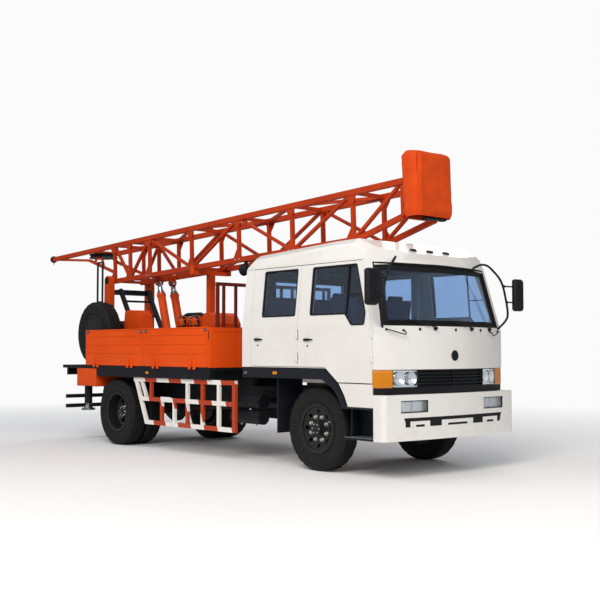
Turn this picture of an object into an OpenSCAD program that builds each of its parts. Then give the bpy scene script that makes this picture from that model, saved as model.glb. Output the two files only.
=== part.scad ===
// Mobile drilling rig: two-axle crew-cab truck that carries a lattice mast.
// Lengths are millimetres. X runs forward, Y to the left and Z up.
// Stations along X are measured from the front axle before the model is centred.

/* [Wheels] */
// Outer diameter of every tyre
tyre_d = 1018; // [960:2:1040]
// Width of one tyre
tyre_w = 255; // [235:1:265]
// Diameter of the rim where the tyre sits
rim_d = 560; // [540:2:600]
// Distance from the front axle to the rear axle
wheel_base = 4500; // [4400:10:4600]
// Distance between the middles of the front tyres
front_track = 1860; // [1840:5:1880]
// Distance between the middles of the rear pairs
rear_track = 1710; // [1680:5:1730]
// Gap between the two tyres of a rear pair
pair_gap = 35; // [25:1:50]
// Wheel nuts on each hub
nut_count = 8; // [6:1:10]

/* [Frame] */
// Width over the two frame rails
rail_span = 860; // [820:5:880]
// Height of a frame rail
rail_h = 230; // [200:5:240]
// Height of the rails' top faces above the ground
rail_top = 950; // [940:5:960]
// Flange width of a rail
rail_flange = 70; // [60:1:75]
// Plate thickness of a rail
rail_t = 9; // [7:0.5:12]

/* [Deck] */
// Height of the deck surface
deck_z = 1215; // [1200:5:1230]
// Width of the deck
deck_w = 2360; // [2320:10:2370]
// Station of the deck's front edge
deck_front = -1985; // [-2020:5:-1950]
// Station of the deck's rear edge
deck_rear = -6110; // [-6150:5:-6100]
// Height of the drop sides
board_h = 550; // [450:5:560]
// Thickness of a drop side
board_t = 36; // [30:1:38]
// Station where the drop sides end at the rear
board_rear = -5350; // [-5450:5:-5300]
// Station where the front and rear drop sides meet
board_split = -3650; // [-3900:10:-3400]

/* [Mast] */
// Height of the mast pivot
pivot_z = 2638; // [2600:2:2680]
// Station of the mast pivot
pivot_x = -5955; // [-5970:5:-5945]
// Slope of the lowered mast
mast_slope = 2.15; // [1.8:0.05:2.5]
// Half the distance between the chords of the two mast sides
mast_half = 287; // [275:1:295]
// Distance from the lower chords to the upper chords
mast_depth = 615; // [580:5:650]
// Square section of a chord
chord = 74; // [64:1:80]
// Square section of a web member
web = 50; // [40:1:56]
// Length of a long mast bay
bay = 1190; // [1160:5:1210]
// Length of the tail behind the pivot
tail_len = 2230; // [2000:10:2260]
// Diameter of the ball foot on the tail
ball_d = 130; // [100:2:150]

/* [Lift cylinders] */
// Half the distance between the two cylinders
lift_half = 130; // [120:1:150]
// Distance of the cylinder eyes from the mast pivot, along the mast
eye_u = 1120; // [1100:5:1150]
// Station of the cylinder feet, from the mast pivot
foot_u = 1490; // [1450:5:1530]
// Height of the cylinder feet above the deck
foot_h = 140; // [120:5:160]
// Barrel diameter
barrel_d = 132; // [120:2:140]
// Middle stage diameter
stage_d = 104; // [98:2:108]
// Rod diameter
rod_d = 76; // [68:2:80]

/* [Cab] */
// Half the width of the cab at the waist
cab_half = 1160; // [1140:5:1170]
// Station of the rear wall
cab_back = -1300; // [-1330:5:-1280]
// Station of the front panel at its middle
cab_nose = 1290; // [1280:2:1300]
// Radius of the bowed front in plan
bow_r = 3400; // [3200:50:3800]
// Rake of the windscreen from the vertical
screen_rake = 16.3; // [14:0.1:18]
// Thickness of doors and walls
wall = 50; // [44:1:54]
// Seam between doors and their frame
seam = 6; // [5:0.5:8]
// Height of the belt line below the windscreen
belt_z = 1710; // [1690:5:1730]
// Height of the drip line at the foot of the roof
drip_z = 2510; // [2490:5:2530]
// Height of the roof at its front
roof_front = 2770; // [2740:5:2800]
// Height of the roof at its rear
roof_back = 2690; // [2660:5:2720]
// Half the width of the roof at the drip line
drip_half = 1080; // [1060:5:1100]
// Glass thickness
glass_t = 8; // [6:0.5:10]
// Door hinge pin diameter
pin_d = 14; // [12:0.5:16]

/* [Front end] */
// Station of the bumper face
bumper_x = 1330; // [1320:2:1350]
// Height of the bumper's top edge
bumper_top = 950; // [930:5:960]
// Height of the bumper's bottom edge
bumper_low = 434; // [420:2:450]
// Half the width of the bumper
bumper_half = 1180; // [1165:5:1190]
// Height of the lamp band's lower edge
lamp_low = 1022; // [1015:1:1030]
// Height of the lamp band's upper edge
lamp_high = 1232; // [1225:1:1236]

/* [Hidden] */
$fn = 48;
// Running gap between moving pieces, pin clearance and seat clearance
gap = 8;
pin_gap = 0.3;
seat_gap = 0.3;
tyre_r = tyre_d / 2;
rim_r = rim_d / 2;
rear_x = -wheel_base;
front_y = front_track / 2;
rear_y = rear_track / 2;
pair_pitch = tyre_w + pair_gap;
rail_out = rail_span / 2;
rail_low = rail_top - rail_h;
deck_half = deck_w / 2;
deck_plate = 50;
sill_top = deck_z - deck_plate - 115;
board_top = deck_z + 5 + board_h;
hinge_y = deck_half + 16;
hinge_z = deck_z - 18;
mid_x = (bumper_x + pivot_x - tail_len * cos(mast_slope) - mast_depth * sin(mast_slope) - ball_d / 2) / 2;
kingpin_y = front_y - 130;
kingpin_r = 20;
spindle_r = 30;
axle_tube_r = 65;

// Moves a piece from axle stations to the centred frame
module place() translate([-mid_x, 0, 0]) children();
// Box between two corners
module block(a, b) translate(a) cube(b - a);
// Plate whose outline lies in X and Z, between two values of Y
module side_plate(y0, y1) translate([0, y1, 0]) rotate([90, 0, 0]) linear_extrude(y1 - y0) children();
// Prism whose outline lies in Y and Z, between two stations
module long_prism(x0, x1) translate([x0, 0, 0]) rotate([90, 0, 90]) linear_extrude(x1 - x0) children();
// A piece and its mirror image on the other side
module both() {
    children();
    mirror([0, 1, 0]) children();
}
// A piece drawn on the left, shown on the left for 1 or on the right for -1
module on_side(side) mirror([0, side < 0 ? 1 : 0, 0]) children();
// Square bar between two points
module bar(p, q, s) {
    v = q - p;
    translate(p) rotate([0, -atan2(v.z, norm([v.x, v.y])), atan2(v.y, v.x)])
        translate([0, -s / 2, -s / 2]) cube([norm(v), s, s]);
}
// Round bar between two points
module rod(p, q, r) {
    v = q - p;
    translate(p) rotate([0, 90 - atan2(v.z, norm([v.x, v.y])), atan2(v.y, v.x)]) cylinder(h = norm(v), r = r);
}
// Cylinder along Y between two values of Y
module cross_rod(x, z, r, y0, y1) translate([x, y1, z]) rotate([90, 0, 0]) cylinder(h = y1 - y0, r = r);
// Turned piece about a lateral axis, outline as radius and Y
module turned(x, y, z) translate([x, y, z]) rotate([-90, 0, 0]) rotate_extrude() children();

// Tyre outline: radius against distance from the middle plane
module tyre_outline() {
    half = [[rim_r + seat_gap, 0.36], [rim_r + 26, 0.36], [rim_r + 70, 0.47], [tyre_r - 110, 0.5],
        [tyre_r - 40, 0.47], [tyre_r - 9, 0.41], [tyre_r, 0.3]];
    polygon(concat([for (p = half) [p[0], -p[1] * tyre_w]],
        [for (i = [len(half) - 1 : -1 : 0]) [half[i][0], half[i][1] * tyre_w]]));
}
// Rim barrel with its two flanges
module rim_outline() {
    edge = 0.36 * tyre_w + 0.5;
    polygon([[rim_r - 14, -edge - 12], [rim_r + 22, -edge - 12], [rim_r + 22, -edge], [rim_r, -edge],
        [rim_r, edge], [rim_r + 22, edge], [rim_r + 22, edge + 12], [rim_r - 14, edge + 12]]);
}
// Ring of wheel nuts that stand on a hub face, along +Y
module nuts(x, y, z, r) {
    for (i = [0 : nut_count - 1])
        translate([x, y, z]) rotate([-90, 360 * (i + 0.5) / nut_count, 0]) translate([r, 0, 0])
            cylinder(h = 26, r = 17, $fn = 6);
}
// Hand holes through a wheel disc
module hand_holes(x, y0, y1, z) {
    for (i = [0 : 7])
        translate([x, y0, z]) rotate([-90, 45 * i, 0]) translate([rim_r * 0.74, 0, 0])
            cylinder(h = y1 - y0, r = 28);
}
hub_face = front_y + 62;
module front_tyre(side) color("#17181a") place() on_side(side) turned(0, front_y, tyre_r) tyre_outline();
module front_rim(side) color("#1e2023") place() on_side(side) difference() {
    union() {
        turned(0, front_y, tyre_r) rim_outline();
        turned(0, front_y, tyre_r) polygon([[60, 40], [190, 40], [rim_r - 30, 74], [rim_r - 6, 74],
            [rim_r - 6, 88], [rim_r - 36, 88], [184, 62], [60, 62]]);
        cross_rod(0, tyre_r, 100, front_y - 40, hub_face + 22);
        cross_rod(0, tyre_r, 190, front_y - 40, front_y + 42);
        cross_rod(0, tyre_r, 78, hub_face + 20, hub_face + 60);
        nuts(0, hub_face, tyre_r, 145);
    }
    hand_holes(0, front_y + 43, front_y + 120, tyre_r);
    cross_rod(0, tyre_r, spindle_r + pin_gap, front_y - 41, front_y + 50);
}
module rear_tyres(side) color("#17181a") place() on_side(side)
    for (s = [-0.5, 0.5]) turned(rear_x, rear_y + s * pair_pitch, tyre_r) tyre_outline();
module rear_rims(side) color("#1e2023") place() on_side(side) difference() {
    union() {
        for (s = [-0.5, 0.5]) turned(rear_x, rear_y + s * pair_pitch, tyre_r) rim_outline();
        turned(rear_x, rear_y, tyre_r) polygon([[100, 0], [200, 0], [rim_r - 24, 74], [rim_r - 6, 74],
            [rim_r - 6, 90], [rim_r - 30, 90], [190, 18], [100, 18]]);
        turned(rear_x, rear_y, tyre_r) polygon([[100, 0], [200, 0], [rim_r - 24, -74], [rim_r - 6, -74],
            [rim_r - 6, -90], [rim_r - 30, -90], [190, -18], [100, -18]]);
        cross_rod(rear_x, tyre_r, 130, rear_y - 270, rear_y + 90);
        cross_rod(rear_x, tyre_r, 205, rear_y - 270, rear_y - 130);
        cross_rod(rear_x, tyre_r, 96, rear_y + 89, rear_y + 150);
        nuts(rear_x, rear_y + 17, tyre_r, 160);
    }
    hand_holes(rear_x, rear_y + 20, rear_y + 120, tyre_r);
    cross_rod(rear_x, tyre_r, axle_tube_r + pin_gap, rear_y - 271, rear_y + 70);
}
spare_pos = [-5330, -950];
module spare_wheel() color("#18191b") place() translate([spare_pos.x, spare_pos.y, deck_z + tyre_r])
    rotate([-90, 0, 0]) difference() {
        rotate_extrude() union() {
            tyre_outline();
            polygon([[rim_r - 14, -110], [rim_r + 1, -110], [rim_r + 1, 110], [rim_r - 14, 110]]);
            polygon([[95, -20], [200, -20], [rim_r - 6, 60], [rim_r - 6, 76], [190, -4], [95, -4]]);
        }
        for (i = [0 : 7]) rotate([0, 0, 45 * i]) translate([rim_r * 0.74, 0, -60]) cylinder(h = 160, r = 28);
        for (i = [0 : nut_count - 1]) rotate([0, 0, 360 * (i + 0.5) / nut_count]) translate([145, 0, -60])
            cylinder(h = 160, r = 13);
    }

// Leaf springs stand between the axle pads and the rails
spring_half = 700;
leaf_t = 22;
function leaf_point(r, a) = r * [sin(a), -cos(a)];
module leaf_spring(x, y, pad_z) {
    rise = rail_low - 3 * leaf_t - 4 - pad_z;
    r = (spring_half * spring_half + rise * rise) / (2 * rise);
    // Half angle that each of the three leaves spans, longest first
    span = [for (k = [0 : 2]) asin((spring_half - 160 * k) / r)];
    translate([x, y + 35, pad_z + r]) rotate([90, 0, 0]) linear_extrude(70) polygon(concat(
        [for (i = [-6 : 6]) leaf_point(r - 3 * leaf_t, span[0] * i / 6)],
        [for (t = [1, 0.8, 0.6, 0.4, 0.2, 0]) leaf_point(r - 2 * leaf_t, span[1] + (span[0] - span[1]) * t)],
        [for (t = [1, 0.5, 0]) leaf_point(r - leaf_t, span[2] + (span[1] - span[2]) * t)],
        [for (i = [4 : -1 : -4]) leaf_point(r, span[2] * i / 4)],
        [for (t = [0, 0.5, 1]) leaf_point(r - leaf_t, -span[2] - (span[1] - span[2]) * t)],
        [for (t = [0, 0.2, 0.4, 0.6, 0.8, 1]) leaf_point(r - 2 * leaf_t, -span[1] - (span[0] - span[1]) * t)]));
    for (s = [-1, 1]) side_plate_at(x + s * (spring_half - 25), y);
}
// Shackle that hangs from a rail and holds the end of a spring
module side_plate_at(x, y) block([x - 35, y - 35, rail_low - 90], [x + 35, y + 35, rail_low - seat_gap]);
spring_y = rail_out - rail_flange / 2;
module front_axle() color("#202225") place() {
    difference() {
        union() {
            for (s = [-1, 1]) translate([0, s * kingpin_y, tyre_r - 55]) cylinder(h = 110, r = 45);
            translate([-45, 0, 0]) rotate([90, 0, 90]) linear_extrude(90) polygon([
                [-kingpin_y, tyre_r - 50], [-kingpin_y + 160, tyre_r - 90], [kingpin_y - 160, tyre_r - 90],
                [kingpin_y, tyre_r - 50], [kingpin_y, tyre_r + 50], [kingpin_y - 90, tyre_r + 45],
                [kingpin_y - 230, tyre_r - 5], [-kingpin_y + 230, tyre_r - 5], [-kingpin_y + 90, tyre_r + 45],
                [-kingpin_y, tyre_r + 50]]);
        }
        for (s = [-1, 1]) translate([0, s * kingpin_y, tyre_r - 60]) cylinder(h = 120, r = kingpin_r + pin_gap);
    }
    both() {
        block([-90, spring_y - 45, tyre_r - 6], [90, spring_y + 45, tyre_r + 30]);
        leaf_spring(0, spring_y, tyre_r + 8);
    }
}
module rear_axle() color("#202225") place() {
    cross_rod(rear_x, tyre_r, axle_tube_r, -rear_y - 60, rear_y + 60);
    turned(rear_x, 0, tyre_r) polygon([[0, -150], [120, -150], [190, -60], [190, 60], [120, 150], [0, 150]]);
    both() {
        block([rear_x - 110, spring_y - 45, tyre_r + 40], [rear_x + 110, spring_y + 45, tyre_r + 76]);
        leaf_spring(rear_x, spring_y, tyre_r + 54);
    }
    rod([rear_x, 0, tyre_r + 20], [gearbox_x - 5, 0, engine_low + 150], 48);
    rod([rear_x + 120, 0, tyre_r + 25], [rear_x + 330, 0, tyre_r + 34], 80);
}
module knuckle(side) color("#26282b") place() on_side(side) {
    translate([0, kingpin_y, tyre_r - 112]) cylinder(h = 224, r = kingpin_r);
    for (s = [-1, 1]) translate([0, 0, tyre_r + s * 87]) {
        translate([0, kingpin_y, -25]) cylinder(h = 50, r = 48);
        block([-48, kingpin_y, -25], [48, kingpin_y + 84, 25]);
    }
    block([-60, kingpin_y + 54, tyre_r - 112], [60, kingpin_y + 84, tyre_r + 112]);
    cross_rod(0, tyre_r, spindle_r, kingpin_y + 80, front_y + 46);
}
engine_low = 560;
engine_top = 1300;
engine_back = -950;
gearbox_x = engine_back - 500;
engine_half = 330;
module engine() color("#2c2f33") place() {
    block([engine_back, -engine_half, engine_low + 100], [350, engine_half, engine_top]);
    block([engine_back + 150, -200, engine_low], [250, 200, engine_low + 100]);
    translate([gearbox_x, 0, engine_low + 200]) rotate([0, 90, 0])
        cylinder(h = engine_back - gearbox_x, r1 = 130, r2 = 220);
}
// Bumper skin and the radius of its bow
bumper_wall = 45;
bumper_curve = 9000;
// Where the bumper brackets meet the inside of the bumper
bracket_front = bumper_x - bumper_wall - pow(rail_out + 130, 2) / (2 * bumper_curve) - seat_gap;
tow_z = 610;
tow_r = 20;
cross_members = [900, -1600, -2900, -3700, -5560, -6020];
module chassis_frame() color("#15171c") place() {
    both() {
        long_prism(deck_rear + 40, 1060) polygon([[rail_out - rail_flange, rail_low], [rail_out, rail_low],
            [rail_out, rail_top], [rail_out - rail_flange, rail_top], [rail_out - rail_flange, rail_top - rail_t],
            [rail_out - rail_t, rail_top - rail_t], [rail_out - rail_t, rail_low + rail_t],
            [rail_out - rail_flange, rail_low + rail_t]]);
        for (x = [-800, 150]) block([x, engine_half, rail_low + 60], [x + 120, rail_out - rail_t + 1, rail_low + 150]);
        block([700, rail_out - rail_flange, rail_top - 1], [800, rail_out, floor_low_bottom]);
        block([-1230, rail_out - rail_flange, rail_top - 1], [-1130, rail_out, floor_high_bottom]);
        block([1010, rail_out - 60, rail_low - 10], [1060, rail_out + 130, rail_top - 20]);
        block([1010, rail_out + 40, rail_low - 60], [bracket_front, rail_out + 130, rail_low + 15]);
        for (z = [690, 530]) block([deck_rear - 40, 0, z - 30], [deck_rear + 25, deck_half - 80, z + 30]);
        block([deck_rear + 20, rail_out - 70, 500], [deck_rear + 60, rail_out, rail_low + 60]);
    }
    difference() {
        union() {
            block([deck_rear - 40, -55, 540], [deck_rear + 25, 55, 680]);
            block([deck_rear - 130, -48, tow_z - 20], [deck_rear, 48, tow_z + 20]);
        }
        translate([deck_rear - 85, 0, tow_z - 21]) cylinder(h = 42, r = tow_r);
    }
    for (x = cross_members)
        block([x, -rail_out + rail_t - 1, rail_low + 40], [x + 60, rail_out - rail_t + 1, rail_top - 40]);
}
module tanks() color("#8d9196") place() {
    translate([-3150, 735, 660]) rotate([90, 0, 90]) linear_extrude(900) offset(r = 70)
        square([390, 340], center = true);
    for (x = [-3000, -2400]) {
        block([x, rail_out, rail_low + 40], [x + 70, 520, rail_low + 150]);
        translate([x, 735, 660]) rotate([90, 0, 90]) linear_extrude(70) difference() {
            offset(r = 78) square([390, 340], center = true);
            offset(r = 66) square([390, 340], center = true);
        }
    }
    for (z = [560, 760]) translate([-1950, -770, z]) rotate([0, 90, 0]) cylinder(h = 620, r = 96);
    for (x = [-1850, -1500]) block([x, -780, 600], [x + 60, -760, 720]);
    for (x = [-1850, -1500]) block([x, -770, rail_low + 40], [x + 60, -rail_out, rail_low + 90]);
}
bearers = [-6080, -5700, -4960, -4440, -3860, -3280, -2700, -2080];
beam_rear = -5000;
module deck() color("#12151c") place() {
    block([deck_rear, -deck_half, deck_z - deck_plate], [deck_front, deck_half, deck_z]);
    for (x = bearers)
        block([x, -deck_half + 60, sill_top], [x + 60, deck_half - 60, deck_z - deck_plate + 1]);
    both() {
        block([beam_rear, deck_half - 80, sill_top], [deck_front, deck_half, deck_z - deck_plate + 1]);
        block([deck_rear + 40, rail_out - rail_flange, rail_top], [deck_front, rail_out, sill_top + 1]);
        for (b = board_spans) for (x = [b[0] + 350, b[1] - 350]) {
            translate([x - 90, hinge_y, hinge_z]) rotate([0, 90, 0]) cylinder(h = 180, r = 6);
            translate([x - 26, hinge_y, hinge_z]) rotate([0, 90, 0]) cylinder(h = 52, r = 11);
            block([x - 26, deck_half - 1, hinge_z - 9], [x + 26, hinge_y, hinge_z + 9]);
        }
    }
}
headboard_t = 36;
board_front = deck_front - headboard_t - gap;
// Drop sides as pairs of stations, rear end then front end
board_spans = [[board_rear, board_split - gap / 2], [board_split + gap / 2, board_front]];
// Heights of the pressed ribs above the deck
board_ribs = [190, 320, 450];
module drop_side(span, side) color("#e4561c") place() on_side(side) {
    block([span[0], deck_half - board_t, deck_z + 5], [span[1], deck_half, board_top]);
    for (h = board_ribs) block([span[0] + 60, deck_half - 1, deck_z + h], [span[1] - 60, deck_half + 7, deck_z + h + 46]);
    for (x = [span[0] + 350, span[1] - 350]) for (s = [-1, 1]) difference() {
        union() {
            translate([x + s * 56 - 28, hinge_y, hinge_z]) rotate([0, 90, 0]) cylinder(h = 56, r = 11);
            block([x + s * 56 - 28, deck_half - 1, deck_z + 8], [x + s * 56 + 28, hinge_y + 4, deck_z + 110]);
            block([x + s * 56 - 28, hinge_y - 4, hinge_z], [x + s * 56 + 28, hinge_y + 4, deck_z + 10]);
        }
        translate([x - 120, hinge_y, hinge_z]) rotate([0, 90, 0]) cylinder(h = 240, r = 6 + pin_gap);
    }
}
rack_top = 2360;
module headboard() color("#dd4f18") place() {
    block([deck_front - headboard_t, -deck_half, deck_z], [deck_front, deck_half, board_top]);
    block([deck_front - headboard_t - 7, -deck_half + 60, board_top - 60],
        [deck_front + 7, deck_half - 60, board_top - 20]);
    for (k = [0 : 9]) bar([deck_front - 18, -935 + k * 208, board_top - 30], [deck_front - 18, -935 + k * 208, rack_top], 34);
    bar([deck_front - 18, -1060, rack_top], [deck_front - 18, 1060, rack_top], 46);
    both() bar([deck_front - 18, 1040, board_top - 30], [deck_front - 18, 1040, rack_top], 40);
}
guard_low = 370;
guard_bar = 60;
guard_front = -1450;
guard_rear = -3940;
// Foot of the slanted rear end bar
guard_heel = -3620;
// Uprights as station, lower height, upper height
guard_posts = [[-3200, 370, 760], [-2880, 370, 760], [-2560, 370, 1050], [-2200, 370, 1050], [-1830, 370, 1050],
    [-3480, 720, 1050]];
module guard_outline() {
    top = sill_top;
    mid = 740;
    translate([guard_rear, top - guard_bar]) square([guard_front - guard_rear, guard_bar]);
    translate([guard_heel, guard_low]) square([guard_front - guard_heel, guard_bar]);
    translate([guard_heel - 130, mid - guard_bar / 2]) square([guard_front - guard_heel + 130, guard_bar]);
    translate([guard_front - 70, guard_low]) square([70, top - guard_low]);
    polygon([[guard_rear, top], [guard_rear + 66, top], [guard_heel + 66, guard_low], [guard_heel, guard_low]]);
    for (p = guard_posts) translate([p[0] - 26, p[1]]) square([52, p[2] - p[1]]);
    polygon([[guard_rear + 150, top], [guard_rear + 200, top], [guard_rear + 370, mid], [guard_rear + 320, mid]]);
}
module side_guards() color("#f0ece6") place() both() side_plate(deck_half - 64, deck_half - 24) guard_outline();
jack_x = -5480;
jack_y = 1050;
jack_r = 45;
module jack_housings() color("#e4561c") place() both() difference() {
    union() {
        block([-5630, 640, 880], [-5020, deck_half - 2, deck_z - deck_plate]);
        translate([jack_x, jack_y, 600]) cylinder(h = 300, r = 62);
    }
    translate([jack_x, jack_y, 599]) cylinder(h = 555, r = jack_r + 0.5);
}
module jack_leg(side) color("#3a3d42") place() on_side(side) {
    translate([jack_x, jack_y, 515]) cylinder(h = 625, r = jack_r);
    translate([jack_x, jack_y, 490]) cylinder(h = 30, r = 110);
    translate([jack_x, jack_y, 519]) cylinder(h = 50, r1 = 75, r2 = 46);
}

// Mast: u runs along the mast from the pivot and w stands square to it
module on_mast() translate([pivot_x, 0, pivot_z]) rotate([0, -mast_slope, 0]) children();
stations = [0, 490, 1090, 1090 + bay, 1090 + 2 * bay, 1090 + 3 * bay, 1090 + 4 * bay];
mast_end = stations[6] + 870;
bend_w = 187;
tail_knee = [-882, 455];
short_tail = -1120;
module mast_side(near) {
    y = near ? -mast_half : mast_half;
    tail = near ? -tail_len + 30 : short_tail;
    bar([-70, y, 0], [stations[6] + 100, y, 0], chord);
    bar([stations[6] + 70, y, 0], [mast_end, y, bend_w], chord - 10);
    bar([tail, y, mast_depth], [mast_end + 25, y, mast_depth], chord);
    for (u = stations) bar([u, y, 0], [u, y, mast_depth], web);
    bar([mast_end, y, bend_w], [mast_end, y, mast_depth], web);
    for (i = [0 : 5]) {
        up = (i % 2 == 1) == near;
        bar([stations[i], y, up ? 0 : mast_depth], [stations[i + 1], y, up ? mast_depth : 0], web - 8);
    }
    bar([stations[6], y, 0], [mast_end, y, mast_depth], web - 8);
    bar([0, y, 150], [tail_knee.x, y, tail_knee.y], web - 4);
    bar([tail_knee.x, y, tail_knee.y], [near ? tail + 120 : short_tail, y, mast_depth - 20], web - 8);
}
pivot_pin = 30;
post_in = 352;
post_out = 452;
lug_gap = 30;
eye_w = -120;
module mast() color("#c23e1b") place() on_mast() {
    mast_side(true);
    mast_side(false);
    for (u = concat(stations, [mast_end])) {
        low = u == mast_end ? bend_w : 0;
        bar([u, -mast_half, low], [u, mast_half, low], web - 4);
        bar([u, -mast_half, mast_depth], [u, mast_half, mast_depth], web - 4);
    }
    for (i = [1 : 5]) {
        s = i % 2 == 0 ? 1 : -1;
        bar([stations[i], -s * mast_half, 0], [stations[i + 1], s * mast_half, 0], web - 10);
        bar([stations[i], s * mast_half, mast_depth], [stations[i + 1], -s * mast_half, mast_depth], web - 10);
    }
    bar([tail_knee.x, -mast_half, mast_depth], [tail_knee.x, mast_half, mast_depth], web - 4);
    both() {
        cross_rod(0, 0, pivot_pin, mast_half, post_out - 2);
        for (s = [-1, 1]) side_plate(lift_half + s * (lug_gap + 7) - 7, lift_half + s * (lug_gap + 7) + 7)
            polygon([[eye_u - 60, 20], [eye_u + 10, 20], [eye_u + 60, eye_w], [eye_u + 30, eye_w - 45],
                [eye_u - 30, eye_w - 45], [eye_u - 60, eye_w]]);
    }
}
sheave_r = 258;
module mast_fittings() color("#1a1b1d") place() on_mast() {
    translate([-tail_len, -mast_half, mast_depth]) difference() {
        union() {
            sphere(r = ball_d / 2);
            translate([0, 0, -ball_d / 2 - 40]) cylinder(h = 60, r = 7);
        }
        translate([30 - seat_gap, -chord, -chord]) cube(2 * chord);
    }
    translate([tail_knee.x, 0, mast_depth - web / 2 - 75]) rotate_extrude() polygon([[0, 0], [sheave_r, 0],
        [sheave_r - 24, 22], [sheave_r - 24, 38], [sheave_r, 60], [60, 60], [60, 75], [0, 75]]);
    translate([1960, mast_half, mast_depth + chord / 2]) {
        cylinder(h = 30, r = 30);
        translate([0, 0, 85]) sphere(r = 72);
    }
    translate([3620, -mast_half, -chord / 2]) {
        translate([-20, -20, -60]) cube([40, 40, 60]);
        translate([-60, 0, -120]) rotate([0, 90, 0]) cylinder(h = 120, r1 = 88, r2 = 60);
    }
}
cover_low = 170;
cover_high = 990;
cover_half = 305;
cover_back = mast_end + 25 + seat_gap;
cover_front = cover_back + 225;
cover_round = 62;
module crown_cover() color("#dc4a16") place() on_mast() hull()
    for (u = [cover_back + cover_round, cover_front - cover_round], y = [-1, 1],
        w = [cover_low + cover_round, cover_high - cover_round])
        translate([u, y * (cover_half - cover_round), w]) sphere(r = cover_round, $fn = 20);

// Lift cylinders: drawn upright on their feet, then leaned to meet the eyes
eye_pos = [eye_u * cos(mast_slope) - eye_w * sin(mast_slope), eye_u * sin(mast_slope) + eye_w * cos(mast_slope)];
foot_pos = [foot_u, deck_z + foot_h - pivot_z];
lift_len = norm(eye_pos - foot_pos);
lift_lean = atan2(foot_pos.x - eye_pos.x, eye_pos.y - foot_pos.y);
barrel_low = 120;
barrel_top = lift_len - 190;
stage_top = lift_len - 150;
// Half width of the eyes between their lugs
lug_fit = lug_gap - 4;
lift_pin = 25;
module on_lift() both() translate([pivot_x + foot_u, lift_half, deck_z + foot_h]) rotate([0, -lift_lean, 0]) children();
module lift_barrels() color("#d24a1a") place() on_lift() difference() {
    union() {
        cross_rod(0, 0, 52, -lug_fit, lug_fit);
        block([-40, -lug_fit, 0], [40, lug_fit, barrel_low + 5]);
        translate([0, 0, barrel_low]) cylinder(h = barrel_top - barrel_low, r = barrel_d / 2);
        translate([0, 0, barrel_top - 50]) cylinder(h = 50, r = barrel_d / 2 + 8);
    }
    cross_rod(0, 0, lift_pin + pin_gap, -lug_fit - 1, lug_fit + 1);
    translate([0, 0, barrel_low + 30]) cylinder(h = barrel_top, r = stage_d / 2 + 0.5);
}
module lift_stages() color("#b9bcc0") place() on_lift() difference() {
    union() {
        translate([0, 0, barrel_low + 35]) cylinder(h = stage_top - barrel_low - 35, r = stage_d / 2);
        translate([0, 0, barrel_top + 6]) cylinder(h = stage_top - barrel_top - 6, r = stage_d / 2 + 7);
    }
    translate([0, 0, barrel_low + 55]) cylinder(h = lift_len, r = rod_d / 2 + 0.5);
}
module lift_rods() color("#c9ccd0") place() on_lift() difference() {
    union() {
        translate([0, 0, barrel_low + 60]) cylinder(h = lift_len - 95 - barrel_low - 60, r = rod_d / 2);
        translate([0, 0, stage_top + 6]) cylinder(h = 54, r = rod_d / 2 + 6);
        translate([0, 0, lift_len]) cross_rod(0, 0, 45, -lug_fit, lug_fit);
        translate([0, 0, lift_len]) block([-30, -lug_fit, -100], [30, lug_fit, -20]);
    }
    translate([0, 0, lift_len]) cross_rod(0, 0, 22, -lug_fit - 1, lug_fit + 1);
}
rest_x = -3580;
rest_top = pivot_z + (rest_x - pivot_x) * tan(mast_slope) - chord / 2 / cos(mast_slope) - gap;
module mast_supports() color("#d94e19") place() {
    both() {
        difference() {
            side_plate(post_in, post_out) union() {
                translate([pivot_x, pivot_z]) circle(r = 85);
                translate([pivot_x - 85, deck_z]) square([170, pivot_z - deck_z]);
            }
            cross_rod(pivot_x, pivot_z, pivot_pin + pin_gap, post_in - 1, post_out + 1);
        }
        block([pivot_x - 140, post_in - 40, deck_z], [pivot_x + 140, post_out + 40, deck_z + 20]);
        for (s = [-1, 1]) block([pivot_x + foot_u - 60, lift_half + s * (lug_gap + 7) - 7, deck_z],
            [pivot_x + foot_u + 60, lift_half + s * (lug_gap + 7) + 7, deck_z + foot_h + 45]);
        cross_rod(pivot_x + foot_u, deck_z + foot_h, lift_pin, lift_half - lug_gap - 20, lift_half + lug_gap + 20);
        block([rest_x - 50, mast_half + chord / 2 + 16, rest_top - 60],
            [rest_x + 50, mast_half + chord / 2 + 36, rest_top + 70]);
    }
    block([rest_x - 50, -50, deck_z], [rest_x + 50, 50, rest_top - 30]);
    block([rest_x - 50, -mast_half - chord / 2 - 36, rest_top - 60], [rest_x + 50, mast_half + chord / 2 + 36, rest_top]);
    block([rest_x - 150, -150, deck_z], [rest_x + 150, 150, deck_z + 20]);
}
leg_y = 275;
leg_foot = [-4970, deck_z];
leg_top = [-5810, 2490];
pipe_pos = [[-6010, -600], [-5850, -600]];
module raking_legs() color("#17191d") place() {
    both() {
        intersection() {
            bar([leg_top.x, leg_y, leg_top.y], [leg_foot.x + 40, leg_y, leg_foot.y - 61], 60);
            block([-6100, 0, deck_z], [-4000, 500, 3000]);
        }
    }
    for (t = [0.16, 0.36, 0.55]) {
        p = leg_top * (1 - t) + leg_foot * t;
        bar([p.x, -leg_y, p.y], [p.x, leg_y, p.y], 34);
    }
    block([pivot_x - 40, -post_in, leg_top.y - 85], [leg_top.x + 20, post_in, leg_top.y - 5]);
    for (p = pipe_pos) translate([p.x, p.y, deck_z]) cylinder(h = 2950 - deck_z, r = 17);
    for (z = [2270, 2940]) bar([pipe_pos[0].x, -600, z], [pipe_pos[1].x, -600, z], 26);
    block([pipe_pos[0].x - 60, -660, deck_z], [pipe_pos[1].x + 60, -540, deck_z + 16]);
}
winch_x = -5270;
winch_z = deck_z + 570;
winch_y = -565;
drum_half = 170;
shaft_r = 32;
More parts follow.
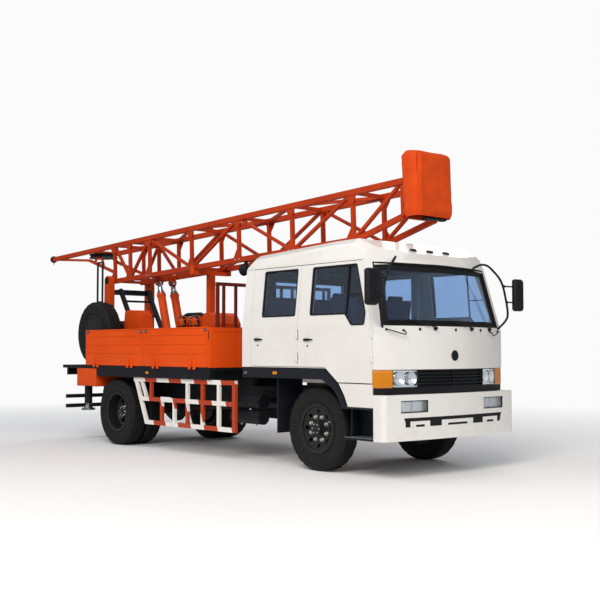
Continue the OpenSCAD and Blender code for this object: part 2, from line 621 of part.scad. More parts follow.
module winch_frame() color("#d94e19") place() {
    difference() {
        for (s = [-1, 1]) side_plate(winch_y + s * (drum_half + 22) - 12, winch_y + s * (drum_half + 22) + 12)
            polygon([[winch_x - 300, deck_z], [winch_x + 300, deck_z], [winch_x + 90, winch_z + 60],
                [winch_x - 90, winch_z + 60]]);
        cross_rod(winch_x, winch_z, shaft_r + pin_gap, winch_y - 300, winch_y + 300);
    }
    block([winch_x - 300, winch_y - drum_half - 30, deck_z], [-4480, winch_y + drum_half + 30, deck_z + 70]);
    side_plate(winch_y - 140, winch_y + 150) polygon([[-4970, deck_z], [-4520, deck_z], [-4520, deck_z + 420],
        [-4600, 2010], [-4680, 2090], [-4880, 2100], [-4950, 2060], [-4970, 1900]]);
    rod([-5090, winch_y - 215, deck_z + 60], [-5230, winch_y - 215, 2150], 16);
}
module winch_drum() color("#1b1c1f") place() {
    turned(winch_x, winch_y, winch_z) polygon([[0, -drum_half - 36], [shaft_r, -drum_half - 36], [shaft_r, -drum_half],
        [245, -drum_half], [245, -drum_half + 14], [150, -drum_half + 14], [150, drum_half - 14],
        [245, drum_half - 14], [245, drum_half], [shaft_r, drum_half], [shaft_r, drum_half + 36], [0, drum_half + 36]]);
}
module mud_pump() color("#d94e19") place() {
    block([-3600, -620, deck_z], [-2600, -180, deck_z + 90]);
    block([-3560, -600, deck_z + 89], [-2930, -220, 1790]);
    for (x = [-3400, -3060]) {
        cross_rod(x, 1870, 84, -660, -240);
        cross_rod(x, 1870, 98, -648, -620);
        cross_rod(x, 1870, 40, -690, -640);
    }
    side_plate(-640, -170) polygon([[-2950, deck_z + 89], [-2600, deck_z + 89], [-2600, 1840], [-2680, 1960],
        [-2760, 2000], [-2880, 1990], [-2950, 1900]]);
}

// Cab volume, shrunk by d on every face: side walls lean in above the tumble line
tumble_z = 1750;
cab_floor_z = 900;
module cab_section(d) {
    lean = (cab_half - drip_half) / (drip_z - tumble_z);
    top = drip_z + 400;
    polygon([[-cab_half + d, cab_floor_z], [cab_half - d, cab_floor_z], [cab_half - d, tumble_z],
        [cab_half - d - lean * (top - tumble_z), top], [-cab_half + d + lean * (top - tumble_z), top],
        [-cab_half + d, tumble_z]]);
}
// Lower cab, with a bowed upright front
module cab_low(d) intersection() {
    long_prism(cab_back + d, cab_nose + 200) cab_section(d);
    translate([cab_nose - bow_r, 0, cab_floor_z]) cylinder(h = belt_z - cab_floor_z, r = bow_r - d, $fn = 360);
}
// Raked frame of the windscreen
module on_screen() translate([cab_nose, 0, belt_z]) rotate([0, -screen_rake, 0]) children();
// Upper cab, with the bowed and raked windscreen
module cab_high(d) intersection() {
    long_prism(cab_back + d, cab_nose + 200) cab_section(d);
    on_screen() translate([-bow_r, 0, -900]) cylinder(h = 3000, r = bow_r - d, $fn = 360);
    block([cab_back - 10, -2000, belt_z - (d > 0 ? 40 : 0)], [cab_nose + 300, 2000, drip_z + (d > 0 ? 1 : 0)]);
}
// Station where the bowed front meets the sides
cab_corner = cab_nose - bow_r + sqrt(bow_r * bow_r - cab_half * cab_half);
// Door edges as station and height
door_front = round(cab_corner - 29);
door_top = drip_z - 18;
sill_high = 1253;
sill_low = 1080;
b_seam = -215;
c_seam = -1120;
floor_t = 45;
floor_low_bottom = sill_low - seam - floor_t;
floor_high_bottom = sill_high - seam - floor_t;
rake_run = tan(screen_rake);
module front_door_outline() polygon([[b_seam + seam / 2, sill_high], [276, sill_high], [500, sill_low],
    [door_front, sill_low], [door_front, belt_z], [door_front - (door_top - belt_z) * rake_run, door_top],
    [b_seam + seam / 2, door_top]]);
module rear_door_outline() translate([c_seam, sill_high])
    square([b_seam - seam / 2 - c_seam, door_top - sill_high]);
module front_window() offset(r = 14) polygon([[20, 1890], [20, 2436], [740, 2436], [door_front - 132, 1880], [door_front - 139, 1760],
    [730, 1760], [614, 1890]]);
module rear_window() offset(r = 14) translate([-890, 1890]) square([600, 546]);
// Slice of a side wall between two depths below its outer face
module wall_slice(d0, d1) difference() {
    long_prism(c_seam - 200, cab_nose) cab_section(d0);
    long_prism(c_seam - 201, cab_nose + 1) cab_section(d1);
    block([c_seam - 300, -3000, 0], [cab_nose + 300, 0, 4000]);
}
hinge_out = cab_half + 10;
hinge_heights = [1360, 1640];
knuckle_r = 12;
pin_r = pin_d / 2;
// Door half of a hinge at one station
module door_knuckles(x) for (z = hinge_heights) difference() {
    union() {
        translate([x, hinge_out, z - 25]) cylinder(h = 50, r = knuckle_r);
        block([x - 34, cab_half - 2, z - 25], [x, hinge_out + 4, z + 25]);
    }
    translate([x, hinge_out, z - 26]) cylinder(h = 52, r = pin_r + pin_gap);
}
// Frame half of a hinge: pin and end knuckles, with a web that reaches to a point on the frame
module frame_knuckles(x, x0, x1, y_in) for (z = hinge_heights) {
    translate([x, hinge_out, z - 45]) cylinder(h = 90, r = pin_r);
    for (s = [-1, 1]) {
        translate([x, hinge_out, z + s * 36 - 9]) cylinder(h = 18, r = knuckle_r);
        block([x0, y_in, z + s * 36 - 9], [x1, hinge_out, z + s * 36 + 9]);
    }
}
// Pockets in the door edges that clear the hinge webs
module hinge_pockets(x, run) for (z = hinge_heights)
    block([x - run, cab_half - 130, z - 56], [x + run, cab_half + 60, z + 56]);
// Room for the other half's knuckles in the skin beside a hinge
module hinge_clearance(x, half) for (z = hinge_heights)
    translate([x, hinge_out, z - half]) cylinder(h = 2 * half, r = knuckle_r + 1.5);
front_hinge = door_front + seam / 2;
module front_door(side) color("#f3efe8") place() on_side(side) {
    difference() {
        intersection() {
            wall_slice(0, wall);
            side_plate(0, 1500) front_door_outline();
        }
        side_plate(0, 1500) front_window();
        hinge_pockets(b_seam, 20);
        hinge_clearance(front_hinge, 46);
    }
    door_knuckles(front_hinge);
    block([-90, cab_half - 2, 1565], [60, cab_half + 12, 1592]);
}
module rear_door(side) color("#f3efe8") place() on_side(side) {
    difference() {
        intersection() {
            wall_slice(0, wall);
            side_plate(0, 1500) rear_door_outline();
        }
        side_plate(0, 1500) rear_window();
        hinge_pockets(b_seam, 12);
    }
    door_knuckles(b_seam);
    block([-1040, cab_half - 2, 1575], [-890, cab_half + 12, 1602]);
}
module front_glass(side) color("#1d2a3f") place() on_side(side) intersection() {
    wall_slice(20, 20 + glass_t);
    side_plate(0, 1500) front_window();
}
module rear_glass(side) color("#1d2a3f") place() on_side(side) intersection() {
    wall_slice(20, 20 + glass_t);
    side_plate(0, 1500) rear_window();
}
// Windscreen outline across the cab against the length up the rake
screen_foot = 30;
screen_head = 800;
module screen_opening() intersection() {
    on_screen() long_prism(-900, 300)
        polygon([[-1045, 0], [1045, 0], [990, screen_head], [-990, screen_head]]);
    block([cab_back + 300, -2000, belt_z + screen_foot], [cab_nose + 300, 2000, drip_z + 100]);
}
back_window = [620, 1860, 2360];
module back_opening(x0, x1) block([x0, -back_window[0], back_window[1]], [x1, back_window[0], back_window[2]]);
module cab_glass() color("#1d2a3f") place() {
    intersection() {
        difference() {
            cab_high(16);
            cab_high(16 + glass_t);
        }
        screen_opening();
        block([300, -2000, belt_z], [cab_nose + 100, 2000, drip_z]);
    }
    back_opening(cab_back + 20, cab_back + 20 + glass_t);
}
floor_half = cab_half - wall;
// Outer and inner faces of the posts between the doors
post_outer = min(floor_half, drip_half - wall) - 10;
post_inner = post_outer - 55;
hump_half = 430;
hump_top = 1400;
module floor_outline() polygon([[cab_back + 1, floor_high_bottom], [cab_back + 1, sill_high - seam],
    [276 - seam / 2, sill_high - seam], [500 - seam / 2, sill_low - seam], [door_front + seam, sill_low - seam],
    [door_front + seam, floor_low_bottom], [484, floor_low_bottom], [258, floor_high_bottom]]);
// Part of the cab's section between two heights
module waist_section(d, z0, z1) intersection() {
    cab_section(d);
    translate([-2000, z0]) square([4000, z1 - z0]);
}
module cab_shell() color("#efebe4") place() {
    difference() {
        union() {
            difference() {
                union() {
                    cab_high(0);
                    long_prism(cab_back, door_front + seam) waist_section(0, sill_high - 13, belt_z + 20);
                }
                cab_high(wall);
                long_prism(cab_back + wall, door_front + seam + 1)
                    waist_section(wall, sill_high - 14, belt_z + 10);
            }
            side_plate(-floor_half, floor_half) floor_outline();
            block([-1050, -hump_half, floor_low_bottom], [470, hump_half, hump_top]);
        }
        both() side_plate(post_outer + 10, 1500) offset(delta = seam) union() {
            intersection() {
                front_door_outline();
                translate([-300, sill_high - 190]) square([2000, 2000]);
            }
            rear_door_outline();
        }
        screen_opening();
        back_opening(cab_back - 10, cab_back + wall + 10);
        block([-1020, -hump_half + 30, 800], [440, hump_half - 30, hump_top - 30]);
    }
    both() {
        block([b_seam - 55, post_inner, sill_high - seam - 1], [b_seam + 55, post_outer, drip_z]);
        block([b_seam - 55, post_inner, drip_z - 10], [b_seam + 55, drip_half - 30, drip_z]);
        frame_knuckles(b_seam, b_seam - 7, b_seam + 7, post_outer - 2);
    }
}
// Roof ribs of the loft: station, half width, top height
roof_slices = [[cab_back, drip_half - 14, drip_z + 70], [cab_back + 120, drip_half, roof_back],
    [250, drip_half, roof_front - 6], [620, drip_half - 4, roof_front], [1000, drip_half - 40, drip_z + 90]];
module roof_slice(s, d) translate([s[0], 0, 0]) rotate([90, 0, 90]) linear_extrude(1) hull() {
    translate([-s[1] + d, drip_z + seat_gap]) square([2 * (s[1] - d), 20]);
    for (k = [-1, 1]) translate([k * (s[1] - 150), s[2] - d - 40]) circle(r = 40, $fn = 32);
    for (k = [-1, 1]) translate([k * (s[1] - 70 - d), s[2] - d - 90]) circle(r = 40, $fn = 32);
}
module roof_loft(d) hull() for (s = roof_slices)
    roof_slice([s[0] + (s[0] < 0 ? d : -d), s[1], s[2]], d);
module cab_roof() color("#f3efe8") place() intersection() {
    difference() {
        roof_loft(0);
        translate([0, 0, -1]) roof_loft(wall);
    }
    on_screen() translate([-bow_r, 0, -900]) cylinder(h = 3000, r = bow_r, $fn = 360);
    block([cab_back - 10, -2000, drip_z + seat_gap], [cab_nose, 2000, roof_front + 100]);
}
module front_skin(d0, d1, y0, y1, z0, z1) intersection() {
    difference() {
        cab_low(d0);
        cab_low(d1);
    }
    block([door_front + seam, y0, z0], [cab_nose + 50, y1, z1]);
}
module cab_front() color("#f3efe8") place() {
    difference() {
        front_skin(0, wall, -2000, 2000, lamp_high + seat_gap, belt_z - seat_gap);
        both() hinge_clearance(front_hinge, 27);
    }
    both() frame_knuckles(front_hinge, front_hinge, front_hinge + 24, cab_half - 14);
}
grille_half = 575;
head_half = 925;
slats = 5;
module grille() color("#14161a") place() {
    front_skin(40, 62, -grille_half, grille_half, lamp_low, lamp_high);
    for (k = [0 : slats])
        front_skin(8, 41, -grille_half, grille_half, lamp_low + k * (lamp_high - lamp_low - 16) / slats,
            lamp_low + k * (lamp_high - lamp_low - 16) / slats + 16);
    for (y = [-grille_half, 0, grille_half]) front_skin(14, 41, y - 12, y + 12, lamp_low, lamp_high);
    front_skin(10, wall, -2000, 2000, bumper_top + seat_gap, lamp_low + 0.5);
}
// Fog lamp opening: inner edge, outer edge, lower edge, upper edge
fog = [500, 930, 745, 885];
module lamps() color("#c9ced6") place() both() {
    front_skin(3, wall, grille_half + 12 + seat_gap, head_half, lamp_low + 0.5 + seat_gap, lamp_high);
    front_skin(1, wall, head_half + 3, 2000, lamp_low + 0.5 + seat_gap, lamp_high);
    block([bumper_x - 115, fog[0] + seat_gap, fog[2] + seat_gap], [bumper_x - 55, fog[1] - seat_gap, fog[3] - seat_gap]);
}
bumper_back = 1095;
module bumper_plan(d) offset(delta = -d) offset(r = 70) offset(delta = -70) polygon(concat(
    [[bumper_back - 140, -bumper_half]],
    [for (i = [-10 : 10]) [bumper_x - pow(i * bumper_half / 10, 2) / (2 * bumper_curve), i * bumper_half / 10]],
    [[bumper_back - 140, bumper_half]]));
// Air slots: offset across the bumper, lower edge, width, height
slot_pitch = 196;
module bumper() color("#f3efe8") place() {
    difference() {
        translate([0, 0, bumper_low]) linear_extrude(bumper_top - bumper_low) bumper_plan(0);
        translate([0, 0, bumper_low - 1]) linear_extrude(bumper_top - bumper_low - bumper_wall + 1) bumper_plan(bumper_wall);
        block([0, -2000, 0], [bumper_back, 2000, 2000]);
        block([bumper_back - 1, -1050, 0], [bumper_x - 120, 1050, 2000]);
        both() block([bumper_x - 140, fog[0], fog[2]], [bumper_x + 50, fog[1], fog[3]]);
        for (k = [-4 : 4]) {
            block([bumper_x - 140, k * slot_pitch - 78, 585], [bumper_x + 50, k * slot_pitch + 78, 640]);
            block([bumper_x - 140, k * slot_pitch - 50, 630], [bumper_x + 50, k * slot_pitch + 50, 690]);
        }
    }
    both() side_plate(cab_half - 40, cab_half) polygon([[515, sill_low - 14], [610, 930], [668, 806],
        [bumper_back - seat_gap, 806], [bumper_back - seat_gap, bumper_top],
        [door_front + seam - seat_gap, bumper_top], [door_front + seam - seat_gap, sill_low - 14]]);
}
wing_top = sill_high - 19;
wing_low = 1106;
step_low = 430;
step_high = 800;
module wings() color("#14171f") place() both() {
    side_plate(floor_half + seat_gap, cab_half + 6) polygon([[cab_back + 20, wing_low], [cab_back + 20, wing_top],
        [262, wing_top], [488, sill_low - 18], [585, 930], [640, step_high], [560, step_high], [500, 915],
        [410, 1010], [235, wing_low]]);
    side_plate(640, floor_half + 1) polygon([[cab_back + 20, wing_low], [cab_back + 20, wing_low + 20],
        [240, wing_low + 20], [420, 1025], [520, 925], [580, step_high], [560, step_high], [500, 915], [410, 1010],
        [235, wing_low]]);
    block([-664, 690, 420], [-644, cab_half - 60, wing_low + 1]);
    block([560, 880, step_high - 22], [1080, cab_half, step_high]);
    block([600, 880, step_low], [1080, cab_half, step_low + 24]);
    block([600, 880, step_low], [1080, 900, step_high]);
    block([1060, 880, step_low], [1080, cab_half, step_high]);
    block([600, 880, step_low], [620, cab_half - 120, step_high]);
}
mirror_pos = [1235, 1335, 2155];
mirror_size = [60, 190, 410];
// Bent tube in front of the windscreen corner that carries a mirror
mirror_arm = [[900, 700, 2435], [1120, 800, 2560], [1190, 1060, 2330], [1205, 1150, 1970], [1195, 1160, 1840],
    [1080, 1000, 1660]];
module mirrors() color("#15161a") place() both() {
    difference() {
        union() {
            for (i = [0 : 4]) rod(mirror_arm[i], mirror_arm[i + 1], 11);
            for (i = [1 : 4]) translate(mirror_arm[i]) sphere(r = 11.5);
        }
        cab_low(-seat_gap);
        cab_high(-seat_gap);
    }
    rod([1202, 1130, 2060], [mirror_pos.x, mirror_pos.y, 2060], 9);
    rod([1195, 1080, 2260], [mirror_pos.x, mirror_pos.y, 2260], 9);
    translate(mirror_pos - mirror_size / 2) translate([0, mirror_size.y, 0]) rotate([90, 0, 0])
        linear_extrude(mirror_size.y) offset(r = 18) translate([18, 18])
            square([mirror_size.x - 36, mirror_size.z - 36]);
}
module dashboard() color("#23262b") place() {
    intersection() {
        cab_low(wall + seat_gap);
        side_plate(-floor_half + 40, floor_half - 40) polygon([[800, 1420], [900, 1330], [1400, 1330], [1400, 1690],
            [960, 1690], [830, 1600]]);
    }
    column = [sin(wheel_tilt), 0, -cos(wheel_tilt)];
    rod(wheel_pos + 320 * column, wheel_pos + (29 + seat_gap) * column, 34);
}
wheel_pos = [640, 480, 1660];
wheel_tilt = 38;
module steering_wheel() color("#1c1d20") place() translate(wheel_pos) rotate([0, -wheel_tilt, 0]) {
    rotate_extrude() translate([215, 0]) circle(r = 16);
    translate([0, 0, -29]) cylinder(h = 44, r = 52);
    for (a = [30, 150, 210, 330]) rotate([0, 0, a]) translate([40, -14, -8]) cube([168, 28, 14]);
}
// Seats: station of the cushion's rear, half width, offset across the cab
seat_z = 1410;
module seat(x, y, half, depth) {
    side_plate(y - half, y + half) offset(r = 30) polygon([[x + 40, seat_z + 31], [x + depth, seat_z + 31],
        [x + depth, seat_z + 110], [x + 120, seat_z + 130], [x + 60, seat_z + 720], [x - 10, seat_z + 720]]);
}
module seats() color("#243152") place() {
    both() {
        seat(-150, 500, 240, 500);
        block([-60, 450, sill_high - seam], [330 - 60, 700, seat_z + 2]);
        block([-1180, 450, sill_high - seam], [-780, 900, seat_z + 2]);
    }
    seat(-1204, 0, 960, 500);
}

chassis_frame();
front_axle();
rear_axle();
engine();
tanks();
deck();
headboard();
drop_side(board_spans[1], -1);  // right_front_board
drop_side(board_spans[0], -1);  // right_rear_board
drop_side(board_spans[1], 1);  // left_front_board
drop_side(board_spans[0], 1);  // left_rear_board
side_guards();
jack_housings();
jack_leg(-1);  // right_jack_leg
jack_leg(1);  // left_jack_leg
spare_wheel();
mast_supports();
raking_legs();
mast();
mast_fittings();
crown_cover();
lift_barrels();
lift_stages();
lift_rods();
winch_frame();
winch_drum();
mud_pump();
cab_shell();
cab_roof();
cab_front();
front_door(-1);  // right_front_door
rear_door(-1);  // right_rear_door
front_door(1);  // left_front_door
rear_door(1);  // left_rear_door
front_glass(-1);  // right_front_glass
rear_glass(-1);  // right_rear_glass
front_glass(1);  // left_front_glass
rear_glass(1);  // left_rear_glass
cab_glass();
grille();
lamps();
bumper();
wings();
mirrors();
dashboard();
steering_wheel();
seats();
knuckle(-1);  // right_knuckle
knuckle(1);  // left_knuckle
front_tyre(-1);  // front_right_tyre
front_tyre(1);  // front_left_tyre
rear_tyres(-1);  // rear_right_tyres
rear_tyres(1);  // rear_left_tyres
front_rim(-1);  // front_right_rim
front_rim(1);  // front_left_rim
rear_rims(-1);  // rear_right_rims
rear_rims(1);  // rear_left_rims
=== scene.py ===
import math

import bmesh
import bpy
from mathutils import Matrix, Vector


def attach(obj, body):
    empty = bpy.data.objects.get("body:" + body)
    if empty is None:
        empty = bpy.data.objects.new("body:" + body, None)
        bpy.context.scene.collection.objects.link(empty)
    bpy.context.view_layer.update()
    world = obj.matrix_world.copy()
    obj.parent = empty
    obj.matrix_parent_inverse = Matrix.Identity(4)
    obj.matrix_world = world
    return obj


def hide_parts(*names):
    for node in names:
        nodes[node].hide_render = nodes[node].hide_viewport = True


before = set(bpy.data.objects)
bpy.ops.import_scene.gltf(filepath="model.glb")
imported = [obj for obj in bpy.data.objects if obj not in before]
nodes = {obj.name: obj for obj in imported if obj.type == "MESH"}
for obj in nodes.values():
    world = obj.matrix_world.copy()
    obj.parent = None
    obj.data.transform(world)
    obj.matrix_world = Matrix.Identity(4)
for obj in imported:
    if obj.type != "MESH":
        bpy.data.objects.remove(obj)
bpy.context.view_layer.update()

# The row frame's origin lies under the middle of the rig; the front axle is this far ahead of it, in metres
AXLE = 3.47075
SIDES = (("right", -1), ("left", 1))


def linear(code):
    """sRGB hex to linear RGBA."""
    parts = [int(code[i:i + 2], 16) / 255 for i in (1, 3, 5)]
    return [p / 12.92 if p <= 0.04045 else ((p + 0.055) / 1.055) ** 2.4 for p in parts] + [1.0]


def add(tree, node, sockets=None, **settings):
    """Adds a shader node, or takes one that is there; a socket gets a number, a hex colour or a node's output."""
    if isinstance(node, str):
        node = tree.nodes.new("ShaderNode" + node)
    for key, value in settings.items():
        setattr(node, key, value)
    for key, value in (sockets or {}).items():
        if isinstance(value, bpy.types.NodeSocket):
            tree.links.new(value, node.inputs[key])
        else:
            node.inputs[key].default_value = linear(value) if isinstance(value, str) else value
    return node.outputs


def blank(name):
    """A new material with its tree, its principled shader and the row frame's coordinates in metres."""
    m = bpy.data.materials.new(name)
    m.use_nodes = True
    tree = m.node_tree
    return m, tree, tree.nodes["Principled BSDF"], add(tree, "TexCoord")["Object"]


def patchy(tree, where, mm, low, high, detail=4.0, ragged=0.5):
    """Patches of about that many millimetres: 0 where a noise is at its low mark, 1 where it is at its high one."""
    cloud = add(tree, "TexNoise", {"Vector": where, "Scale": 1000 / mm, "Detail": detail, "Roughness": ragged})["Fac"]
    return add(tree, "MapRange", {"Value": cloud, "From Min": low, "From Max": high})["Result"]


def mottled(tree, where, main, shade, mm, low, high, detail=4.0, ragged=0.5):
    """One colour with patches of another. Returns the patches' share and the mixed colour."""
    share = patchy(tree, where, mm, low, high, detail, ragged)
    return share, add(tree, "Mix", {"Factor": share, "A": main, "B": shade}, data_type="RGBA")["Result"]


def uneven(tree, where, mm, deep, strength, detail):
    """Normals of a skin with bumps of about that many millimetres, so many metres deep."""
    bumps = add(tree, "TexNoise", {"Vector": where, "Scale": 1000 / mm, "Detail": detail})["Fac"]
    return add(tree, "Bump", {"Height": bumps, "Distance": deep, "Strength": strength})["Normal"]


def enamel(name, main, shade, rough=0.32, coat=0.35, dust=0.16, gleam=0.5):
    """Sprayed enamel on steel: even colour, faint orange peel, road dust that gathers low down and in patches."""
    m, tree, shader, where = blank(name)
    _, tone = mottled(tree, where, main, shade, 900, 0.35, 0.7)
    height = add(tree, "SeparateXYZ", {"Vector": where})["Z"]
    low = add(tree, "MapRange", {"Value": height, "From Min": 1.5, "From Max": 0.35, "To Max": dust})["Result"]
    patch = patchy(tree, where, 160, 0.35, 0.75, 4.0, 0.6)
    film = add(tree, "Math", {0: low, 1: patch}, operation="MULTIPLY")["Value"]
    tone = add(tree, "Mix", {"Factor": film, "A": tone, "B": "#8A7B69"}, data_type="RGBA")["Result"]
    gloss = add(tree, "MapRange", {"Value": patch, "To Min": rough, "To Max": rough + 0.12})["Result"]
    # Orange peel is about 2 mm across; 6 mm is drawn so that it shows
    peel = uneven(tree, where, 6, 0.00005, 0.5, 1.0)
    add(tree, shader, {"Base Color": tone, "Roughness": gloss, "Normal": peel, "IOR": 1.5, "Coat Weight": coat,
                       "Coat Roughness": 0.08, "Specular IOR Level": gleam})
    return m


def worn_enamel(name, main, shade, under, rough=0.42, coat=0.12, mm=30, gleam=0.5, below=None, level=0.0):
    """Enamel on plant: scuffed at its corners down to primer and rust, dulled in patches. Below a level in metres
    it may have a coat of another colour."""
    m, tree, shader, where = blank(name)
    _, tone = mottled(tree, where, main, shade, 420, 0.32, 0.72)
    if below:
        height = add(tree, "SeparateXYZ", {"Vector": where})["Z"]
        lower = add(tree, "Math", {0: height, 1: level}, operation="LESS_THAN")["Value"]
        tone = add(tree, "Mix", {"Factor": lower, "A": tone, "B": below}, data_type="RGBA")["Result"]
    eased = add(tree, "Bevel", {"Radius": 0.007}, samples=4)["Normal"]
    flat = add(tree, "NewGeometry")["Normal"]
    turn = add(tree, "VectorMath", {0: eased, 1: flat}, operation="DOT_PRODUCT")["Value"]
    corner = add(tree, "MapRange", {"Value": turn, "From Min": 0.97, "From Max": 0.82})["Result"]
    broken = patchy(tree, where, mm, 0.44, 0.6, 4.0, 0.6)
    wear = add(tree, "Math", {0: corner, 1: broken}, operation="MULTIPLY")["Value"]
    scuff = add(tree, "TexNoise", {"Vector": where, "Scale": 1000 / 70, "Detail": 6.0, "Roughness": 0.6})["Fac"]
    gloss = add(tree, "MapRange", {"Value": scuff, "From Min": 0.3, "From Max": 0.75, "To Min": rough,
                                   "To Max": rough + 0.2})["Result"]
    scuff = add(tree, "MapRange", {"Value": scuff, "From Min": 0.66, "From Max": 0.72})["Result"]
    wear = add(tree, "Math", {0: wear, 1: scuff}, operation="MAXIMUM")["Value"]
    tone = add(tree, "Mix", {"Factor": wear, "A": tone, "B": under}, data_type="RGBA")["Result"]
    peel = uneven(tree, where, 9, 0.00012, 0.5, 3.0)
    add(tree, shader, {"Base Color": tone, "Roughness": gloss, "Normal": peel, "IOR": 1.5, "Coat Weight": coat,
                       "Specular IOR Level": gleam})
    return m


def banded_enamel(name, light, dark, pitch, start, lean):
    """White bars with painted bands along the rig that lean by that share of the height; the edges are slightly
    ragged, as brushed along tape."""
    m, tree, shader, where = blank(name)
    along = add(tree, "VectorMath", {0: where, 1: (1, 0, lean)}, operation="DOT_PRODUCT")["Value"]
    ragged = add(tree, "TexNoise", {"Vector": where, "Scale": 1000 / 14, "Detail": 2.0})["Fac"]
    along = add(tree, "Math", {0: ragged, 1: 0.006, 2: along}, operation="MULTIPLY_ADD")["Value"]
    along = add(tree, "Math", {0: along, 1: start}, operation="SUBTRACT")["Value"]
    turn = add(tree, "Math", {0: along, 1: 2 * pitch}, operation="FLOORED_MODULO")["Value"]
    band = add(tree, "Math", {0: turn, 1: pitch}, operation="GREATER_THAN")["Value"]
    tone = add(tree, "Mix", {"Factor": band, "A": light, "B": dark}, data_type="RGBA")["Result"]
    _, tone = mottled(tree, where, tone, "#8C7C6C", 90, 0.6, 0.82, 5.0, 0.6)
    strokes = add(tree, "Bump", {"Height": ragged, "Distance": 0.0001, "Strength": 0.5})["Normal"]
    add(tree, shader, {"Base Color": tone, "Roughness": 0.4, "Normal": strokes, "IOR": 1.5, "Specular IOR Level": 0.3})
    return m


def moulded(name, main, shade, rough, grain, gleam):
    """Moulded plastic: a fine leather grain of about that many millimetres, drawn four times as coarse so that it
    shows, and paler where it is rubbed."""
    m, tree, shader, where = blank(name)
    rubbed, tone = mottled(tree, where, main, shade, 240, 0.3, 0.75)
    gloss = add(tree, "MapRange", {"Value": rubbed, "To Min": rough, "To Max": rough + 0.15})["Result"]
    cells = add(tree, "TexVoronoi", {"Vector": where, "Scale": 1000 / (grain * 4)}, feature="F1")["Distance"]
    cells = add(tree, "Bump", {"Height": cells, "Distance": 0.00015, "Strength": 0.35})["Normal"]
    add(tree, shader, {"Base Color": tone, "Roughness": gloss, "Normal": cells, "IOR": 1.48,
                       "Specular IOR Level": gleam})
    return m


def bare_metal(name, main, shade, rough):
    """Ground or drawn metal: fine streaks of about 4 mm and soft stains."""
    m, tree, shader, where = blank(name)
    stain, tone = mottled(tree, where, main, shade, 140, 0.35, 0.7)
    gloss = add(tree, "MapRange", {"Value": stain, "To Min": rough, "To Max": rough + 0.14})["Result"]
    streaks = uneven(tree, where, 4, 0.00004, 0.4, 2.0)
    add(tree, shader, {"Base Color": tone, "Roughness": gloss, "Normal": streaks, "Metallic": 1.0})
    return m


def tyre_rubber(name):
    """Vulcanised rubber: near black, browned by dust, with a fine moulded skin."""
    m, tree, shader, where = blank(name)
    dust, tone = mottled(tree, where, "#0E0E10", "#24221F", 60, 0.42, 0.78, 6.0, 0.6)
    gloss = add(tree, "MapRange", {"Value": dust, "To Min": 0.66, "To Max": 0.9})["Result"]
    skin = uneven(tree, where, 5, 0.0004, 0.6, 4.0)
    add(tree, shader, {"Base Color": tone, "Roughness": gloss, "Normal": skin, "IOR": 1.52, "Specular IOR Level": 0.25})
    return m


def tinted_glass(name, tint):
    """Laminated safety glass: smooth, tinted through, with a faint film of dust."""
    m, tree, shader, where = blank(name)
    film = add(tree, "TexNoise", {"Vector": where, "Scale": 1000 / 300, "Detail": 4.0})["Fac"]
    film = add(tree, "MapRange", {"Value": film, "From Min": 0.35, "From Max": 0.75, "To Max": 0.06})["Result"]
    add(tree, shader, {"Base Color": tint, "Roughness": film, "IOR": 1.52, "Transmission Weight": 1.0,
                       "Specular IOR Level": 0.12})
    return m


# Blender's wave texture draws about this many bands in one unit of its scale
WAVE_BANDS = 3.1


def lens(name, tint, clear, ridge_mm):
    """Moulded acrylic lens: clear or dyed, with upright flutes of that pitch on its face."""
    m, tree, shader, where = blank(name)
    haze = add(tree, "TexNoise", {"Vector": where, "Scale": 1000 / 30, "Detail": 4.0})["Fac"]
    gloss = add(tree, "MapRange", {"Value": haze, "From Min": 0.3, "From Max": 0.7, "To Min": 0.06,
                                   "To Max": 0.11})["Result"]
    flutes = add(tree, "TexWave", {"Vector": where, "Scale": 1000 / ridge_mm / WAVE_BANDS}, bands_direction="Y")["Fac"]
    flutes = add(tree, "Bump", {"Height": flutes, "Distance": 0.0008, "Strength": 0.6})["Normal"]
    add(tree, shader, {"Base Color": tint, "Roughness": gloss, "Normal": flutes, "IOR": 1.49,
                       "Transmission Weight": clear})
    return m


def canvas(name, main, shade):
    """Coated cotton canvas: plain weave of about 1 mm threads, drawn at 5 mm so that it shows, faded on its folds."""
    m, tree, shader, where = blank(name)
    _, tone = mottled(tree, where, main, shade, 170, 0.3, 0.75)
    warp, weft = [add(tree, "TexWave", {"Vector": where, "Scale": 1000 / 5 / WAVE_BANDS}, bands_direction=way)["Fac"]
                  for way in "ZY"]
    weave = add(tree, "Math", {0: warp, 1: weft}, operation="ADD")["Value"]
    weave = add(tree, "Bump", {"Height": weave, "Distance": 0.00035, "Strength": 0.5})["Normal"]
    add(tree, shader, {"Base Color": tone, "Roughness": 0.72, "Normal": weave, "IOR": 1.45, "Sheen Weight": 0.04,
                       "Specular IOR Level": 0.2})
    return m


def seat_cloth(name):
    """Woven seat cloth: navy yarn with a paler fleck, 6 mm ribs and a soft sheen."""
    m, tree, shader, where = blank(name)
    _, tone = mottled(tree, where, "#1B2747", "#2E4273", 5, 0.4, 0.6, 2.0)
    ribs = add(tree, "TexWave", {"Vector": where, "Scale": 1000 / 6 / WAVE_BANDS}, bands_direction="Y")["Fac"]
    ribs = add(tree, "Bump", {"Height": ribs, "Distance": 0.0005, "Strength": 0.5})["Normal"]
    add(tree, shader, {"Base Color": tone, "Roughness": 0.85, "Normal": ribs, "Sheen Weight": 0.15})
    return m


